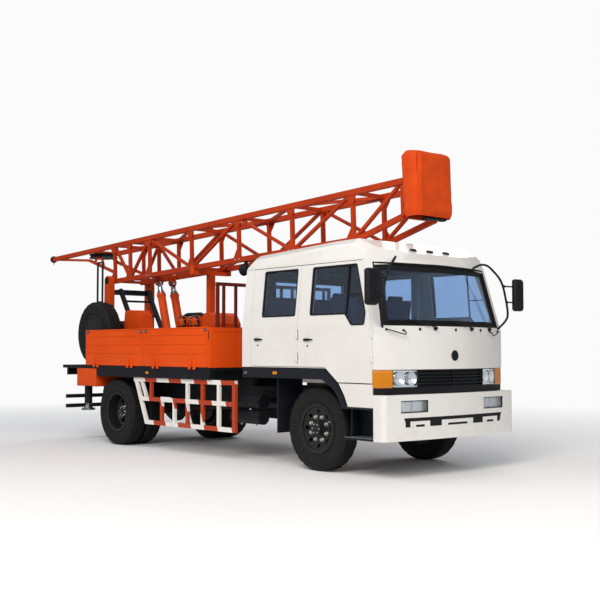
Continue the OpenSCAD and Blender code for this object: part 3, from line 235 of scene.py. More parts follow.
def casting(name, main, shade):
    """Sand cast iron under black paint: a coarse skin, oily patches and dust."""
    m, tree, shader, where = blank(name)
    oil, tone = mottled(tree, where, main, shade, 80, 0.35, 0.75, 5.0, 0.6)
    gloss = add(tree, "MapRange", {"Value": oil, "To Min": 0.45, "To Max": 0.8})["Result"]
    sand = uneven(tree, where, 7, 0.0005, 0.6, 5.0)
    add(tree, shader, {"Base Color": tone, "Roughness": gloss, "Normal": sand, "Metallic": 0.25})
    return m


def deck_paint(name):
    """Deck plate: navy-black paint over pressed studs, scuffed to steel by boots."""
    m, tree, shader, where = blank(name)
    scuff, tone = mottled(tree, where, "#0A0C12", "#34332F", 120, 0.6, 0.78, 6.0, 0.6)
    gloss = add(tree, "MapRange", {"Value": scuff, "To Min": 0.5, "To Max": 0.68})["Result"]
    studs = add(tree, "TexVoronoi", {"Vector": where, "Scale": 1000 / 42, "Randomness": 0.0}, feature="F1")["Distance"]
    studs = add(tree, "Bump", {"Height": studs, "Distance": -0.0012, "Strength": 0.5})["Normal"]
    add(tree, shader, {"Base Color": tone, "Roughness": gloss, "Normal": studs, "IOR": 1.5, "Specular IOR Level": 0.25})
    return m


cab_white = enamel("cab_white_enamel", "#EDEAE5", "#E4E0D9", 0.26, 0.5)
board_orange = enamel("board_orange_enamel", "#EA5404", "#DE4A02", 0.46, 0.0, 0.3, 0.16)
rack_red = worn_enamel("rack_red_enamel", "#6E2014", "#581A10", "#3C2A22", 0.5, 0.0, 30, 0.2, "#E44E03", 1.765)
rig_orange = worn_enamel("rig_orange_enamel", "#DC4C08", "#CA4206", "#6E3A24", 0.46, 0.0, 30, 0.2)
jack_orange = worn_enamel("jack_orange_enamel", "#E25007", "#D04606", "#6E3A24", 0.46, 0.0, 30, 0.2, "#16171A", 0.888)
mast_red = worn_enamel("mast_red_enamel", "#BE3C0C", "#A83009", "#5A3226", 0.48, 0.0, 30, 0.2)
frame_black = worn_enamel("frame_black_enamel", "#101217", "#191C22", "#40362E", 0.5, 0.0, 60, 0.25)
rim_black = worn_enamel("rim_black_enamel", "#131417", "#1C1D20", "#4A4640", 0.45, 0.05, 40, 0.3)
guard_bands = banded_enamel("guard_banded_enamel", "#EDE9E2", "#B43C18", 0.311, -0.071, 0.39)
deck_black = deck_paint("deck_studded_paint")
wing_navy = moulded("wing_moulded_abs", "#0D1018", "#141822", 0.5, 1.4, 0.3)
trim_black = moulded("trim_moulded_pp", "#0B0C0F", "#131417", 0.5, 1.0, 0.3)
# Interior trim in near-black navy: partly the mouldings' own dark colour, partly painted shade standing for the unlit
# inside of the cab
dark_trim_and_interior_shade = moulded("grained_abs_dark_as_shade", "#0A0D18", "#101426", 0.7, 1.4, 0.08)
rubber_black = moulded("seal_epdm_rubber", "#0A0B0C", "#121315", 0.62, 0.8, 0.3)
tyre_black = tyre_rubber("tyre_rubber")
iron_black = casting("cast_iron_black", "#222326", "#3A342E")
tank_grey = bare_metal("tank_aluminium", "#9DA1A6", "#85888C", 0.36)
ground_steel = bare_metal("ground_steel", "#8F9398", "#74777B", 0.3)
hard_chrome = bare_metal("hard_chrome", "#D5D8DB", "#C4C7CA", 0.06)
zinc_nut = bare_metal("zinc_plated_steel", "#C6C4BC", "#A7A398", 0.34)
mirror_face = bare_metal("silvered_mirror_glass", "#DDE3E8", "#D6DCE2", 0.02)
window_tint = tinted_glass("tinted_window_glass", "#B6CEEB")
clear_lens = lens("clear_acrylic_lens", "#F4F7FA", 0.9, 16)
plain_lens = tinted_glass("headlamp_polycarbonate", "#F7FAFC")
smoke_lens = lens("smoked_acrylic_lens", "#2A1B0E", 0.3, 12)
amber_lens = lens("amber_acrylic_lens", "#F59A1C", 0.35, 10)
red_lens = lens("red_acrylic_lens", "#B81A12", 0.4, 10)
cover_canvas = canvas("cover_orange_canvas", "#DC4A07", "#CC4005")
seat_navy = seat_cloth("seat_woven_cloth")

CORNERS = [f"{word}_{end}" for word in ("right", "left") for end in ("front", "rear")]
DOORS, BOARDS, PANES = [[f"{corner}_{kind}" for corner in CORNERS] for kind in ("door", "board", "glass")]

finish_of = {
    cab_white: ["cab_shell", "cab_roof", "cab_front", "bumper", *DOORS],
    rack_red: ["headboard"],
    board_orange: BOARDS,
    jack_orange: ["jack_housings"],
    rig_orange: ["mast_supports", "lift_barrels", "winch_frame", "mud_pump"],
    mast_red: ["mast"],
    frame_black: ["chassis_frame", "raking_legs", "mast_fittings", "winch_drum", "tanks"],
    rim_black: ["front_right_rim", "front_left_rim", "rear_right_rims", "rear_left_rims"],
    guard_bands: ["side_guards"],
    deck_black: ["deck"],
    wing_navy: ["wings"],
    trim_black: ["grille", "mirrors"],
    dark_trim_and_interior_shade: ["dashboard", "steering_wheel"],
    iron_black: ["front_axle", "rear_axle", "engine", "right_knuckle", "left_knuckle"],
    ground_steel: ["right_jack_leg", "left_jack_leg", "lift_stages"],
    hard_chrome: ["lift_rods"],
    window_tint: [*PANES, "cab_glass"],
    tyre_black: ["front_right_tyre", "front_left_tyre", "rear_right_tyres", "rear_left_tyres", "spare_wheel"],
    clear_lens: ["lamps"],
    cover_canvas: ["crown_cover"],
    seat_navy: ["seats"],
}
for finish, names in finish_of.items():
    for name in names:
        nodes[name].data.materials.clear()
        nodes[name].data.materials.append(finish)


def soften(o, mm, name="rounded_edges", segments=2, degrees=40):
    """Rounds the edges of an object that turn by more than an angle."""
    soft = o.modifiers.new(name, "BEVEL")
    soft.width = mm / 1000
    soft.segments = segments
    soft.limit_method = "ANGLE"
    soft.angle_limit = math.radians(degrees)
    soft.harden_normals = True


# Pressed and welded edges are rounded by a few millimetres, which the light picks up
rounded = {"cab_shell": 3, "cab_front": 4, "bumper": 5, "headboard": 3, "side_guards": 4, "mast": 6,
           "mast_supports": 4, "winch_frame": 6, "mud_pump": 6, "deck": 3, "wings": 4, "jack_housings": 4,
           "raking_legs": 4, "chassis_frame": 2, "tanks": 2, **dict.fromkeys(DOORS, 4), **dict.fromkeys(BOARDS, 3)}
for name, mm in rounded.items():
    soften(nodes[name], mm)
# The roof is one pressing, so its facets run into each other
soften(nodes["cab_roof"], 35, "pressed_roof", 4, 6)


# Camera, floor and light

def studio():
    """Camera at the photograph's angle, pale floor and soft light."""
    turn, tilt = math.radians(48.589), math.radians(2.931)
    ahead = Vector((-math.sin(turn) * math.cos(tilt), math.cos(turn) * math.cos(tilt), math.sin(tilt)))
    across = Vector((math.cos(turn), math.sin(turn), 0))
    upward = across.cross(ahead)
    cam = bpy.data.objects.new("camera", bpy.data.cameras.new("camera"))
    cam.matrix_world = Matrix((across, upward, -ahead)).transposed().to_4x4()
    cam.location = (12.288, -9.080, 1.451)
    cam.data.sensor_width = 36
    cam.data.lens = 59.015
    cam.data.clip_end = 500
    bpy.context.collection.objects.link(cam)
    bpy.context.scene.camera = cam

    floor_mesh = bpy.data.meshes.new("floor")
    floor_mesh.from_pydata([(-90, -90, 0), (90, -90, 0), (90, 90, 0), (-90, 90, 0)], [], [(0, 1, 2, 3)])
    floor = bpy.data.objects.new("floor", floor_mesh)
    bpy.context.collection.objects.link(floor)
    matt, tree, shader, where = blank("floor_matt_paper")
    cloud = add(tree, "TexNoise", {"Vector": where, "Scale": 1000 / 2500})["Fac"]
    tone = add(tree, "Mix", {"Factor": cloud, "A": "#F3F2F1", "B": "#F7F6F5"}, data_type="RGBA")["Result"]
    # The paper runs out into the white of the studio, so no horizon shows
    reach = add(tree, "VectorMath", {0: where}, operation="LENGTH")["Value"]
    fade = add(tree, "MapRange", {"Value": reach, "From Min": 5.0, "From Max": 13.0, "To Min": 1.0,
                                  "To Max": 0.0})["Result"]
    add(tree, shader, {"Base Color": tone, "Roughness": 0.9, "Alpha": fade})
    floor.data.materials.append(matt)

    world = bpy.data.worlds.new("studio")
    bpy.context.scene.world = world
    world.use_nodes = True
    tree = world.node_tree
    back = tree.nodes["Background"]
    path = add(tree, "LightPath")
    seen = add(tree, "Math", {0: path["Is Camera Ray"], 1: path["Is Transmission Ray"]}, operation="MAXIMUM")["Value"]
    tone = add(tree, "Mix", {"Factor": seen, "A": "#D5D9DF", "B": "#FBFBFB"}, data_type="RGBA")["Result"]
    level = add(tree, "MapRange", {"Value": seen, "To Min": 0.42, "To Max": 1.0})["Result"]
    add(tree, back, {"Color": tone, "Strength": level})
    for name, spot, size, watts, tint in (
            ("key_light", (10, -12, 12), 9, 2000, "#FFFAF3"), ("fill_light", (-7, -10, 15), 9, 720, "#EEF3FF"),
            ("rim_light", (-4, 13, 11), 10, 650, "#FFFFFF"), ("nose_light", (15, -4, 6), 7, 420, "#FFFFFF")):
        lamp = bpy.data.lights.new(name, "AREA")
        lamp.size = size
        lamp.energy = watts
        lamp.color = linear(tint)[:3]
        o = bpy.data.objects.new(name, lamp)
        o.location = spot
        o.rotation_euler = (Vector((0.5, 0, 1.3)) - Vector(spot)).to_track_quat("-Z", "Y").to_euler()
        bpy.context.collection.objects.link(o)


studio()
bpy.context.scene.view_settings.view_transform = "Standard"


# Shapes: each is (points, faces) in millimetres, with X from the front axle

def joined(*shapes):
    points, faces = [], []
    for p, f in shapes:
        faces += [[i + len(points) for i in face] for face in f]
        points += list(p)
    return points, faces


def mirrored(shape):
    """The same shape on the other side of the rig."""
    points, faces = shape
    return [(x, -y, z) for x, y, z in points], [list(reversed(f)) for f in faces]


def both(*shapes):
    """Shapes with their mirror images."""
    one = joined(*shapes)
    return joined(one, mirrored(one))


def block(lo, hi):
    (a, b, c), (d, e, f) = lo, hi
    points = [(a, b, c), (d, b, c), (d, e, c), (a, e, c), (a, b, f), (d, b, f), (d, e, f), (a, e, f)]
    return points, [[3, 2, 1, 0], [4, 5, 6, 7], [0, 1, 5, 4], [1, 2, 6, 5], [2, 3, 7, 6], [3, 0, 4, 7]]


def loft(rings, caps=True, loop=False):
    """Skin through rings of equal length."""
    n = len(rings[0])
    points = [p for ring in rings for p in ring]
    faces = []
    for k in range(len(rings) if loop else len(rings) - 1):
        a, b = k * n, ((k + 1) % len(rings)) * n
        faces += [[a + i, a + (i + 1) % n, b + (i + 1) % n, b + i] for i in range(n)]
    if caps and not loop:
        faces += [list(reversed(range(n))), [len(points) - n + i for i in range(n)]]
    return points, faces


def square_to(way):
    """A direction square to another."""
    return way.cross(Vector((0, 0, 1)) if abs(way.z) < 0.9 else Vector((1, 0, 0))).normalized()


def around(count, start=0.0):
    """Equal turns about an axis; start is a share of one of them."""
    return [2 * math.pi * (k + start) / count for k in range(count)]


def circle(centre, r, u, v, count):
    return [tuple(centre + r * (math.cos(t) * u + math.sin(t) * v)) for t in around(count)]


def tube(path, r, sides=8, closed=False):
    """Round tube along a path, with mitred bends."""
    path = [Vector(p) for p in path]
    count = len(path)
    rings = []
    side = None
    for i, p in enumerate(path):
        before = path[i - 1] if i or closed else p
        after = path[(i + 1) % count] if i < count - 1 or closed else p
        way = ((p - before).normalized() + (after - p).normalized()).normalized()
        if side is None:
            side = square_to(way)
        side = (side - way * side.dot(way)).normalized()
        rings.append(circle(p, r, side, way.cross(side), sides))
    return loft(rings, caps=not closed, loop=closed)


def lathe(profile, centre, axis, segs):
    """Solid of revolution: profile is (radius, distance along the axis)."""
    axis = Vector(axis).normalized()
    u = square_to(axis)
    return loft([circle(Vector(centre) + axis * d, r, u, axis.cross(u), segs) for r, d in profile])


def ribbon(outline, y0, y1):
    """Plate between two values of Y whose outline lies in X and Z."""
    return loft([[(x, y0, z) for x, z in outline], [(x, y1, z) for x, z in outline]])


def rounded_loop(corners, r, steps=5):
    """2-D outline with its corners rounded by r."""
    out = []
    for i, c in enumerate(corners):
        c = Vector(c)
        a = (Vector(corners[i - 1]) - c).normalized()
        b = (Vector(corners[(i + 1) % len(corners)]) - c).normalized()
        half = a.angle(b) / 2
        run = r / math.tan(half)
        mid = c + (a + b).normalized() * (r / math.sin(half))
        s, e = c + a * run - mid, c + b * run - mid
        for k in range(steps + 1):
            d = s.lerp(e, k / steps)
            out.append(tuple(mid + d.normalized() * r))
    return out


def in_frame(x, y, z):
    """A point in millimetres from the front axle, in the row frame's metres."""
    return x / 1000 + AXLE, y / 1000, z / 1000


def plain_object(name, shape):
    """An object from a shape, in the scene."""
    mesh = bpy.data.meshes.new(name)
    mesh.from_pydata([in_frame(*p) for p in shape[0]], [], shape[1])
    mesh.validate()
    o = bpy.data.objects.new(name, mesh)
    bpy.context.collection.objects.link(o)
    return o


def subdivided(o):
    skin = o.modifiers.new("smooth_skin", "SUBSURF")
    skin.levels = skin.render_levels = 1


def piece(name, shape, finish, body="truck", bevel=0.0, smooth=35, rounder=False):
    """One object from a shape, with its finish, riding on a body. bevel is in millimetres."""
    o = plain_object(name, shape)
    mesh = o.data
    tidy = bmesh.new()
    tidy.from_mesh(mesh)
    bmesh.ops.recalc_face_normals(tidy, faces=tidy.faces)
    tidy.to_mesh(mesh)
    tidy.free()
    mesh.polygons.foreach_set("use_smooth", [True] * len(mesh.polygons))
    mesh.set_sharp_from_angle(angle=math.radians(smooth))
    mesh.materials.append(finish)
    if bevel:
        soften(o, bevel)
    if rounder:
        subdivided(o)
    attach(o, body)
    return o


def hex_bolt(spot, axis, size, tall):
    """Hexagon head with a washer under it, standing on a face."""
    return joined(lathe([(size * 0.72, 0), (size * 0.72, tall * 0.18)], spot, axis, 16),
                  lathe([(size * 0.56, tall * 0.18), (size * 0.56, tall * 0.92), (size * 0.46, tall)], spot, axis, 6))


def bolt_ring(centre, side, r, size, tall, turns):
    """Bolts about an axis that points to a side of the rig."""
    x, y, z = centre
    return joined(*[hex_bolt((x + r * math.cos(t), y, z + r * math.sin(t)), (0, side, 0), size, tall) for t in turns])


def on_both(shape, name, finish, part=None, **more):
    """A piece drawn on the left, and its mirror image on the right; each rides on its side's part."""
    for word, drawn in (("left", shape), ("right", mirrored(shape))):
        piece(f"{word}_{name}", drawn, finish, f"{word}_{part}" if part else "truck", **more)


# Wheels

TYRE_R, RIM_R, REAR_AXLE = 509.0, 280.0, -4500


def tyre_shape(centre, segs=96):
    """Road tyre: bead, wall with a scuff rib, notched shoulders and four zigzag grooves."""
    cx, cy, cz = centre
    wall = [(RIM_R + 1, 92), (306, 93), (322, 104), (350, 119), (392, 126.5), (430, 127), (448, 125), (452, 127.2),
            (462, 126.6), (466, 122.5), (484, 117)]
    rings = []
    for i in range(segs):
        turn = 2 * math.pi * i / segs
        step = 6.5 if i // 2 % 2 else -6.5
        notch = 9.0 if i % 4 == 0 else 0.0
        row = [(r, -y) for r, y in wall]
        row += [(499 - notch, -108), (506 - notch, -97), (507.5, -84)]
        for groove in (-64, -21, 21, 64):
            g = groove + step
            row += [(508.6, g - 6), (495, g - 4), (495, g + 4), (508.6, g + 6)]
        row += [(507.5, 84), (506 - notch, 97), (499 - notch, 108)]
        row += [(r, y) for r, y in reversed(wall)]
        rings.append([(cx + r * math.cos(turn), cy + y, cz + r * math.sin(turn)) for r, y in row])
    return loft(rings, loop=True)


for word, side in SIDES:
    front, rear = f"front_{word}_wheel", f"rear_{word}_wheels"
    skin = piece(f"front_{word}_tread", tyre_shape((0, side * 930, TYRE_R)), tyre_black, front, smooth=28)
    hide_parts(f"front_{word}_tyre")
    pair = joined(*[tyre_shape((REAR_AXLE, side * y, TYRE_R)) for y in (710, 1000)])
    skin = piece(f"rear_{word}_treads", pair, tyre_black, rear, smooth=28)
    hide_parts(f"rear_{word}_tyres")
    nuts = joined(bolt_ring((0, side * 992, TYRE_R), side, 145, 36, 31, around(8, 0.5)),
                  bolt_ring((0, side * 1052, TYRE_R), side, 56, 14, 9.8, around(6)))
    piece(f"front_{word}_nuts", nuts, zinc_nut, front)
    nuts = joined(bolt_ring((REAR_AXLE, side * 872, TYRE_R), side, 160, 36, 31, around(8, 0.5)),
                  bolt_ring((REAR_AXLE, side * 1005, TYRE_R), side, 72, 20, 14, around(8)))
    piece(f"rear_{word}_nuts", nuts, zinc_nut, rear)
    for where, x, y, body in (("front", 0, 1020, front), ("rear", REAR_AXLE, 1090, rear)):
        stem = tube([(x + 214, side * (y - 30), TYRE_R + 90), (x + 216, side * y, TYRE_R + 92),
                     (x + 206, side * (y + 12), TYRE_R + 88)], 6)
        piece(f"{where}_{word}_valve", stem, zinc_nut, body)

spare = (-5330, -950, 1215 + TYRE_R)
dish = lathe([(96, -16), (200, -16), (262, 58), (281, 66), (281, 96), (294, 98), (294, 104), (268, 104), (262, 76),
              (206, 2), (96, 2)], spare, (0, -1, 0), 64)
barrel = lathe([(266, -96), (281, -96), (281, 96), (266, 96)], spare, (0, -1, 0), 64)
skin = piece("spare_tread", tyre_shape(spare), tyre_black, smooth=28)
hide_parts("spare_wheel")
piece("spare_rim", joined(dish, barrel), rim_black, bevel=2)
clamp = lathe([(120, 6), (120, 20), (40, 26), (40, 60)], spare, (0, -1, 0), 24)
nut = hex_bolt((spare[0], spare[1] - 58, spare[2]), (0, -1, 0), 60, 40)
piece("spare_clamp", joined(clamp, nut), ground_steel, bevel=2)


# Cab

CAB_HALF, TUMBLE, LEAN = 1160.0, 1750.0, 80 / 760
NOSE, BOW, BELT = 1290.0, 3400.0, 1710.0
RAKE = math.radians(16.3)


def side_y(z, out=0.0):
    """Distance of the cab's side wall from the middle plane at a height, and out beyond it."""
    return CAB_HALF - LEAN * max(0.0, z - TUMBLE) + out


def nose_at(y, z, out=0.0):
    """Point on the bowed front panel."""
    return (NOSE - BOW + math.sqrt((BOW + out) ** 2 - y * y), y, z)


def screen_at(y, z, out=0.0):
    """Point on the bowed and raked windscreen."""
    x = math.sqrt((BOW + out) ** 2 - y * y) - BOW
    rise = (z - BELT - x * math.sin(RAKE)) / math.cos(RAKE)
    return (NOSE + x * math.cos(RAKE) - rise * math.sin(RAKE), y, z)


def filled(points, closed, steps):
    """More points along a 2-D outline, so that a bead on it follows a curved wall."""
    out = []
    count = len(points) if closed else len(points) - 1
    for i in range(count):
        a, b = Vector(points[i]), Vector(points[(i + 1) % len(points)])
        n = max(1, int((b - a).length / steps))
        out += [tuple(a.lerp(b, k / n)) for k in range(n)]
    return out if closed else out + [tuple(points[-1])]


front_pane = rounded_loop([(6, 1876), (6, 2450), (750, 2450), (940, 1880), (932, 1746), (724, 1746), (608, 1876)], 22)
rear_pane = rounded_loop([(-904, 1876), (-904, 2450), (-276, 2450), (-276, 1876)], 22)
for end, pane in (("front", front_pane), ("rear", rear_pane)):
    outline = filled(pane, True, 90)
    for kind, out, r, finish in (("window_seal", -1, 9, rubber_black), ("glass_channel", -17, 12, trim_black)):
        bead = tube([(x, side_y(z, out), z) for x, z in outline], r, closed=True)
        on_both(bead, f"{end}_{kind}", finish, f"{end}_door")
bars = joined(tube([(612, side_y(z, -14), z) for z in (1880, 2444)], 11),
              tube([(x, side_y(2100, -14), 2100) for x in (612, 850)], 7))
on_both(bars, "quarter_glass_bars", trim_black, "front_door")
# Pale felt channel that shows behind the rear edge of each pane
for end, x in (("front", 38), ("rear", -872)):
    felt = loft([[(x - 13, side_y(z, -20), z), (x + 9, side_y(z, -20), z), (x + 9, side_y(z, -17), z),
                  (x - 13, side_y(z, -17), z)] for z in (1905, 2170, 2425)])
    on_both(felt, f"{end}_felt_channel", tank_grey, f"{end}_door")


def door_handle(x0, z):
    """Pull handle: a tapered grip over a shallow recess plate, with the lock barrel below it."""
    rings = []
    for t in (0, 0.06, 0.15, 0.3, 0.5, 0.7, 0.88, 0.97, 1):
        half = 15.5 * (1 - 0.5 * t ** 3) * (0.55 if t in (0, 1) else 1)
        reach = 15 + 9 * math.sin(math.pi * min(1, t * 1.05)) * (0.3 if t in (0, 1) else 1)
        section = ((-4, -1), (reach * 0.8, -1), (reach, -0.4), (reach, 0.5), (reach * 0.8, 1), (-4, 1))
        rings.append([(x0 - 3 + 158 * t, CAB_HALF + out, z + half * up) for out, up in section])
    lock = lathe([(12, -3), (12, 3), (9, 5), (9, 3), (3, 3), (3, 4.5)], (x0 + 62, CAB_HALF, z - 74), (0, 1, 0), 20)
    return joined(loft(rings), lock)


for end, x, z in (("front", -90, 1579), ("rear", -1040, 1589)):
    on_both(door_handle(x, z), f"{end}_door_handle", trim_black, f"{end}_door", bevel=2)

drip = tube([(x, side_y(2506, 3), 2504) for x in range(-1290, 840, 130)] + [(836, side_y(2506, 2), 2504)], 7)
on_both(drip, "drip_rail", cab_white)
line = tube([(x, side_y(2494, 0.5), 2495.5) for x in range(-1124, 800, 120)], 2.6, 6)
on_both(line, "door_head_seal", rubber_black)


def screen_strip(edge, inner, out=-14):
    """Band on the windscreen between two runs of (y, z)."""
    return loft([[screen_at(*a, out), screen_at(*b, out), screen_at(*b, out - 2), screen_at(*a, out - 2)]
                 for a, b in zip(edge, inner)])


def half_wide(z):
    """Half width of the windscreen opening at a height."""
    return 1045 - 55 * (z - BELT) / 768


SCREEN_LOW, SCREEN_TOP = 1742, 2462
heights = [SCREEN_LOW + (SCREEN_TOP - SCREEN_LOW) * k / 12 for k in range(13)]
acrosses = [-1 + 2 * k / 20 for k in range(21)]
loop = [(half_wide(SCREEN_LOW) * t, SCREEN_LOW) for t in acrosses] + [(half_wide(z), z) for z in heights[1:]]
loop += [(half_wide(SCREEN_TOP) * t, SCREEN_TOP) for t in reversed(acrosses[:-1])]
loop += [(-half_wide(z), z) for z in reversed(heights[1:-1])]
piece("screen_seal", tube([screen_at(y, z, -4) for y, z in loop], 13, closed=True), rubber_black)
strips = [screen_strip([(a * t, z0) for t in acrosses], [(b * t, z1) for t in acrosses])
          for a, z0, b, z1 in ((980, SCREEN_TOP, 900, 2380), (1030, SCREEN_LOW, 960, 1800))]
strips += [screen_strip([(s * half_wide(z), z) for z in heights], [(s * (half_wide(z) - 95), z) for z in heights])
           for s in (-1, 1)]
piece("screen_black_border", joined(*strips), trim_black)


def wiper(pivot, tip, middle, half):
    """Pivot boss, tapered arm, blade carrier with claws and rubber blade."""
    hub = Vector(nose_at(pivot, 1704, 2))
    boss = lathe([(24, -14), (24, 8), (17, 20), (17, 30), (8, 34)], hub, (0.96, 0, 0.28), 18)
    bend, end = screen_at(pivot + (tip - pivot) * 0.35, 1750, 34), screen_at(tip, 1790, 30)
    arm = tube([hub + Vector((26, 0, 8)), bend, end], 8)
    blade, spine = [tube([screen_at(middle + t * half * share, 1790 + 8 * (1 - t * t), out) for t in steps], r, 6)
                    for share, out, r, steps in ((1, 14, 5.5, (-1, -0.6, -0.2, 0.2, 0.6, 1)),
                                                 (0.8, 26, 4.5, (-1, -0.5, 0, 0.5, 1)))]
    claws = [tube([screen_at(middle + t * half, 1792, 12), screen_at(middle + t * half, 1794, 27)], 4, 6)
             for t in (-0.75, -0.25, 0.25, 0.75)]
    return joined(boss, arm, blade, spine, *claws)


wipers = [wiper(-330, -690, -700, 300), wiper(330, -40, -30, 300), wiper(760, 640, 660, 260)]
piece("wipers", joined(*wipers), trim_black, bevel=1)
jets = [joined(lathe([(17, -8), (17, 4), (11, 12), (5, 15)], nose_at(y, 1694), (1, y / BOW, 0.1), 16),
               lathe([(4, 0), (4, 9), (2, 10)], nose_at(y, 1704, 8), (0.6, 0, 0.8), 10)) for y in (-560, 20, 540)]
piece("washer_jets", joined(*jets), trim_black)

# Bent tube handle on the front panel under each corner of the windscreen, on two feet
run = [(-1010, 1688, 4), (-1004, 1686, 32), (-900, 1654, 46), (-812, 1632, 50), (-792, 1642, 46), (-788, 1668, 32),
       (-788, 1680, 4)]
feet = [lathe([(15, 0), (15, 4), (9, 9)], nose_at(y, z), (1, y / BOW, 0), 16) for y, z, _ in (run[0], run[-1])]
grab_loop = joined(tube([nose_at(*spot) for spot in run], 6.5, 10), *feet)
piece("right_grab_loop", grab_loop, trim_black)
piece("left_grab_loop", mirrored(grab_loop), trim_black)
disc = lathe([(62, -4), (62, 5), (58, 8.5), (50, 8.5), (47, 6.5), (10, 7.5)], nose_at(0, 1390), (1, 0, 0), 48)
piece("front_disc", disc, trim_black)


# Lamps

def slab(at, y0, y1, z0, z1, out0, out1, steps):
    """Slab that follows the bowed front or bumper between two depths."""
    rings = []
    for k in range(steps + 1):
        y = y0 + (y1 - y0) * k / steps
        rings.append([at(y, z0, out0), at(y, z1, out0), at(y, z1, out1), at(y, z0, out1)])
    return loft(rings)


def lamp_lathe(curve, y, segs):
    """Round part of a headlamp, square to the bowed front."""
    way = Vector((math.sqrt(BOW * BOW - y * y), y, 0)).normalized()
    return lathe(curve, nose_at(y, 1128, -12), way, segs)


LAMP_IN, LAMP_MID, LAMP_OUT, LAMP_LOW, LAMP_TOP = 588, 922, 1150, 1024, 1231
BULB_Y = (676, 838)
walls = ((LAMP_IN, LAMP_OUT, LAMP_LOW, LAMP_TOP, -50, -46, 14), (LAMP_IN, LAMP_OUT, 1224, LAMP_TOP, -46, -6, 14),
         (LAMP_IN, LAMP_OUT, LAMP_LOW, 1031, -46, -6, 14), (LAMP_IN, 596, LAMP_LOW, LAMP_TOP, -46, -6, 2),
         (LAMP_MID, 931, LAMP_LOW, LAMP_TOP, -46, -5, 2), (1142, LAMP_OUT, LAMP_LOW, LAMP_TOP, -46, -12, 2))
housings = piece("lamp_housings", both(*[slab(nose_at, *wall) for wall in walls]), trim_black)
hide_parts("lamps")
# Pressed reflectors: parabolas with a rolled lip
BOWL_R, BOWL_DEEP = 72, 26
bowl = [(8, -BOWL_DEEP), *[(BOWL_R * a, -BOWL_DEEP * b) for a, b in ((0.25, 0.94), (0.5, 0.75), (0.75, 0.44))],
        (BOWL_R, 0), (BOWL_R + 3, 1.5), (BOWL_R + 5, 0),
        *[(BOWL_R * a, -BOWL_DEEP * b) for a, b in ((0.78, 0.48), (0.52, 0.8))], (8, -BOWL_DEEP - 3)]
inner = both(slab(nose_at, 597, 921, 1032, 1223, -44, -41, 10), *[lamp_lathe(bowl, y, 40) for y in BULB_Y],
             slab(nose_at, 597, 921, 1036, 1046, -38, -14, 8), slab(nose_at, 597, 921, 1209, 1220, -38, -14, 8))
piece("headlamp_reflectors", inner, hard_chrome)
bulbs = [lamp_lathe([(8, -34), (9, -24), (9, -16), (7, -10), (3, -6)], y, 16) for y in BULB_Y]
piece("headlamp_bulbs", both(*bulbs), clear_lens)
piece("headlamp_lenses", both(slab(nose_at, 589, 924, 1025, 1230, -8, -3, 12)), plain_lens, bevel=2)

# Amber lens with a crowned face that wraps the cab's corner
crown = ((1025, 30), (1025, 6), (1031, 2.5), (1060, 1), (1128, 0.5), (1196, 1), (1224, 2.5), (1230, 6), (1230, 30))
rings = []
for k in range(15):
    y = 931 + (1157 - 931) * k / 14
    dip = 6 * max(0, (y - 1110) / 47) ** 2
    rings.append([nose_at(y, z, -o - dip) for z, o in crown])
piece("corner_lamp_lenses", both(loft(rings)), amber_lens)


BUMPER_FACE = 1330


def bumper_at(y, z, out=0.0):
    """Point on the bumper's bowed face."""
    return BUMPER_FACE - y * y / 18000 + out, y, z


ring = both(*[slab(bumper_at, *wall) for wall in (
    (502, 928, 876, 883, -80, -8, 6), (502, 928, 747, 754, -80, -8, 6), (502, 510, 754, 876, -80, -8, 1),
    (920, 928, 754, 876, -80, -8, 1), (502, 928, 747, 883, -84, -80, 6))])
piece("fog_lamp_housings", ring, trim_black, bevel=1.5)
shine = both(slab(bumper_at, 512, 918, 756, 874, -66, -62, 6),
             *[slab(bumper_at, 512, 918, z, z + 5, -62, -46, 6) for z in (776, 800, 824, 848)],
             slab(bumper_at, 712, 718, 756, 874, -62, -40, 1))
piece("fog_lamp_reflectors", shine, hard_chrome)
piece("fog_lamp_lenses", both(slab(bumper_at, 511, 919, 755, 875, -30, -22, 6)), clear_lens, bevel=2)
piece("bumper_slot_backing", slab(bumper_at, -890, 890, 572, 704, -56, -48, 20), trim_black)


def bumper_inlay(y0, y1, z0, z1, slant=0.0):
    """Thin plate let on to the bumper's bowed face; slant draws its lower outer end in."""
    rings = []
    for k in range(13):
        y = y0 + (y1 - y0) * k / 12
        low = y - slant * (y - y0) / (y1 - y0)
        back, face = [[min(bumper_at(s, 0, out)[0], BUMPER_FACE) for s in (low, y)] for out in (-3, 0.8)]
        rings.append([(back[0], low, z0), (back[1], y, z1), (face[1], y, z1), (face[0], low, z0)])
    return loft(rings)


# The slots run along above white bars, dip between them, and have a short run under each bar
SLOT_LOW, BAR_LOW, BAR_TOP, SLOT_TOP = 586, 611, 650, 689
side_slots = [bumper_inlay(285, 480, SLOT_LOW, SLOT_TOP), bumper_inlay(480, 790, BAR_TOP, SLOT_TOP),
              bumper_inlay(567, 703, SLOT_LOW, BAR_LOW), bumper_inlay(790, 884, SLOT_LOW, SLOT_TOP, 46)]
side_bars = [bumper_inlay(480, 790, BAR_LOW, BAR_TOP), bumper_inlay(480, 567, SLOT_LOW, BAR_LOW),
             bumper_inlay(703, 790, SLOT_LOW, BAR_LOW), bumper_inlay(175, 285, SLOT_LOW, BAR_LOW)]
mid_slots = [bumper_inlay(-285, 285, BAR_TOP, SLOT_TOP), bumper_inlay(-175, 175, SLOT_LOW, BAR_LOW)]
piece("bumper_slot_grilles", joined(*mid_slots, both(*side_slots)), trim_black)
piece("bumper_slot_bars", joined(bumper_inlay(-285, 285, BAR_LOW, BAR_TOP), both(*side_bars)), cab_white)

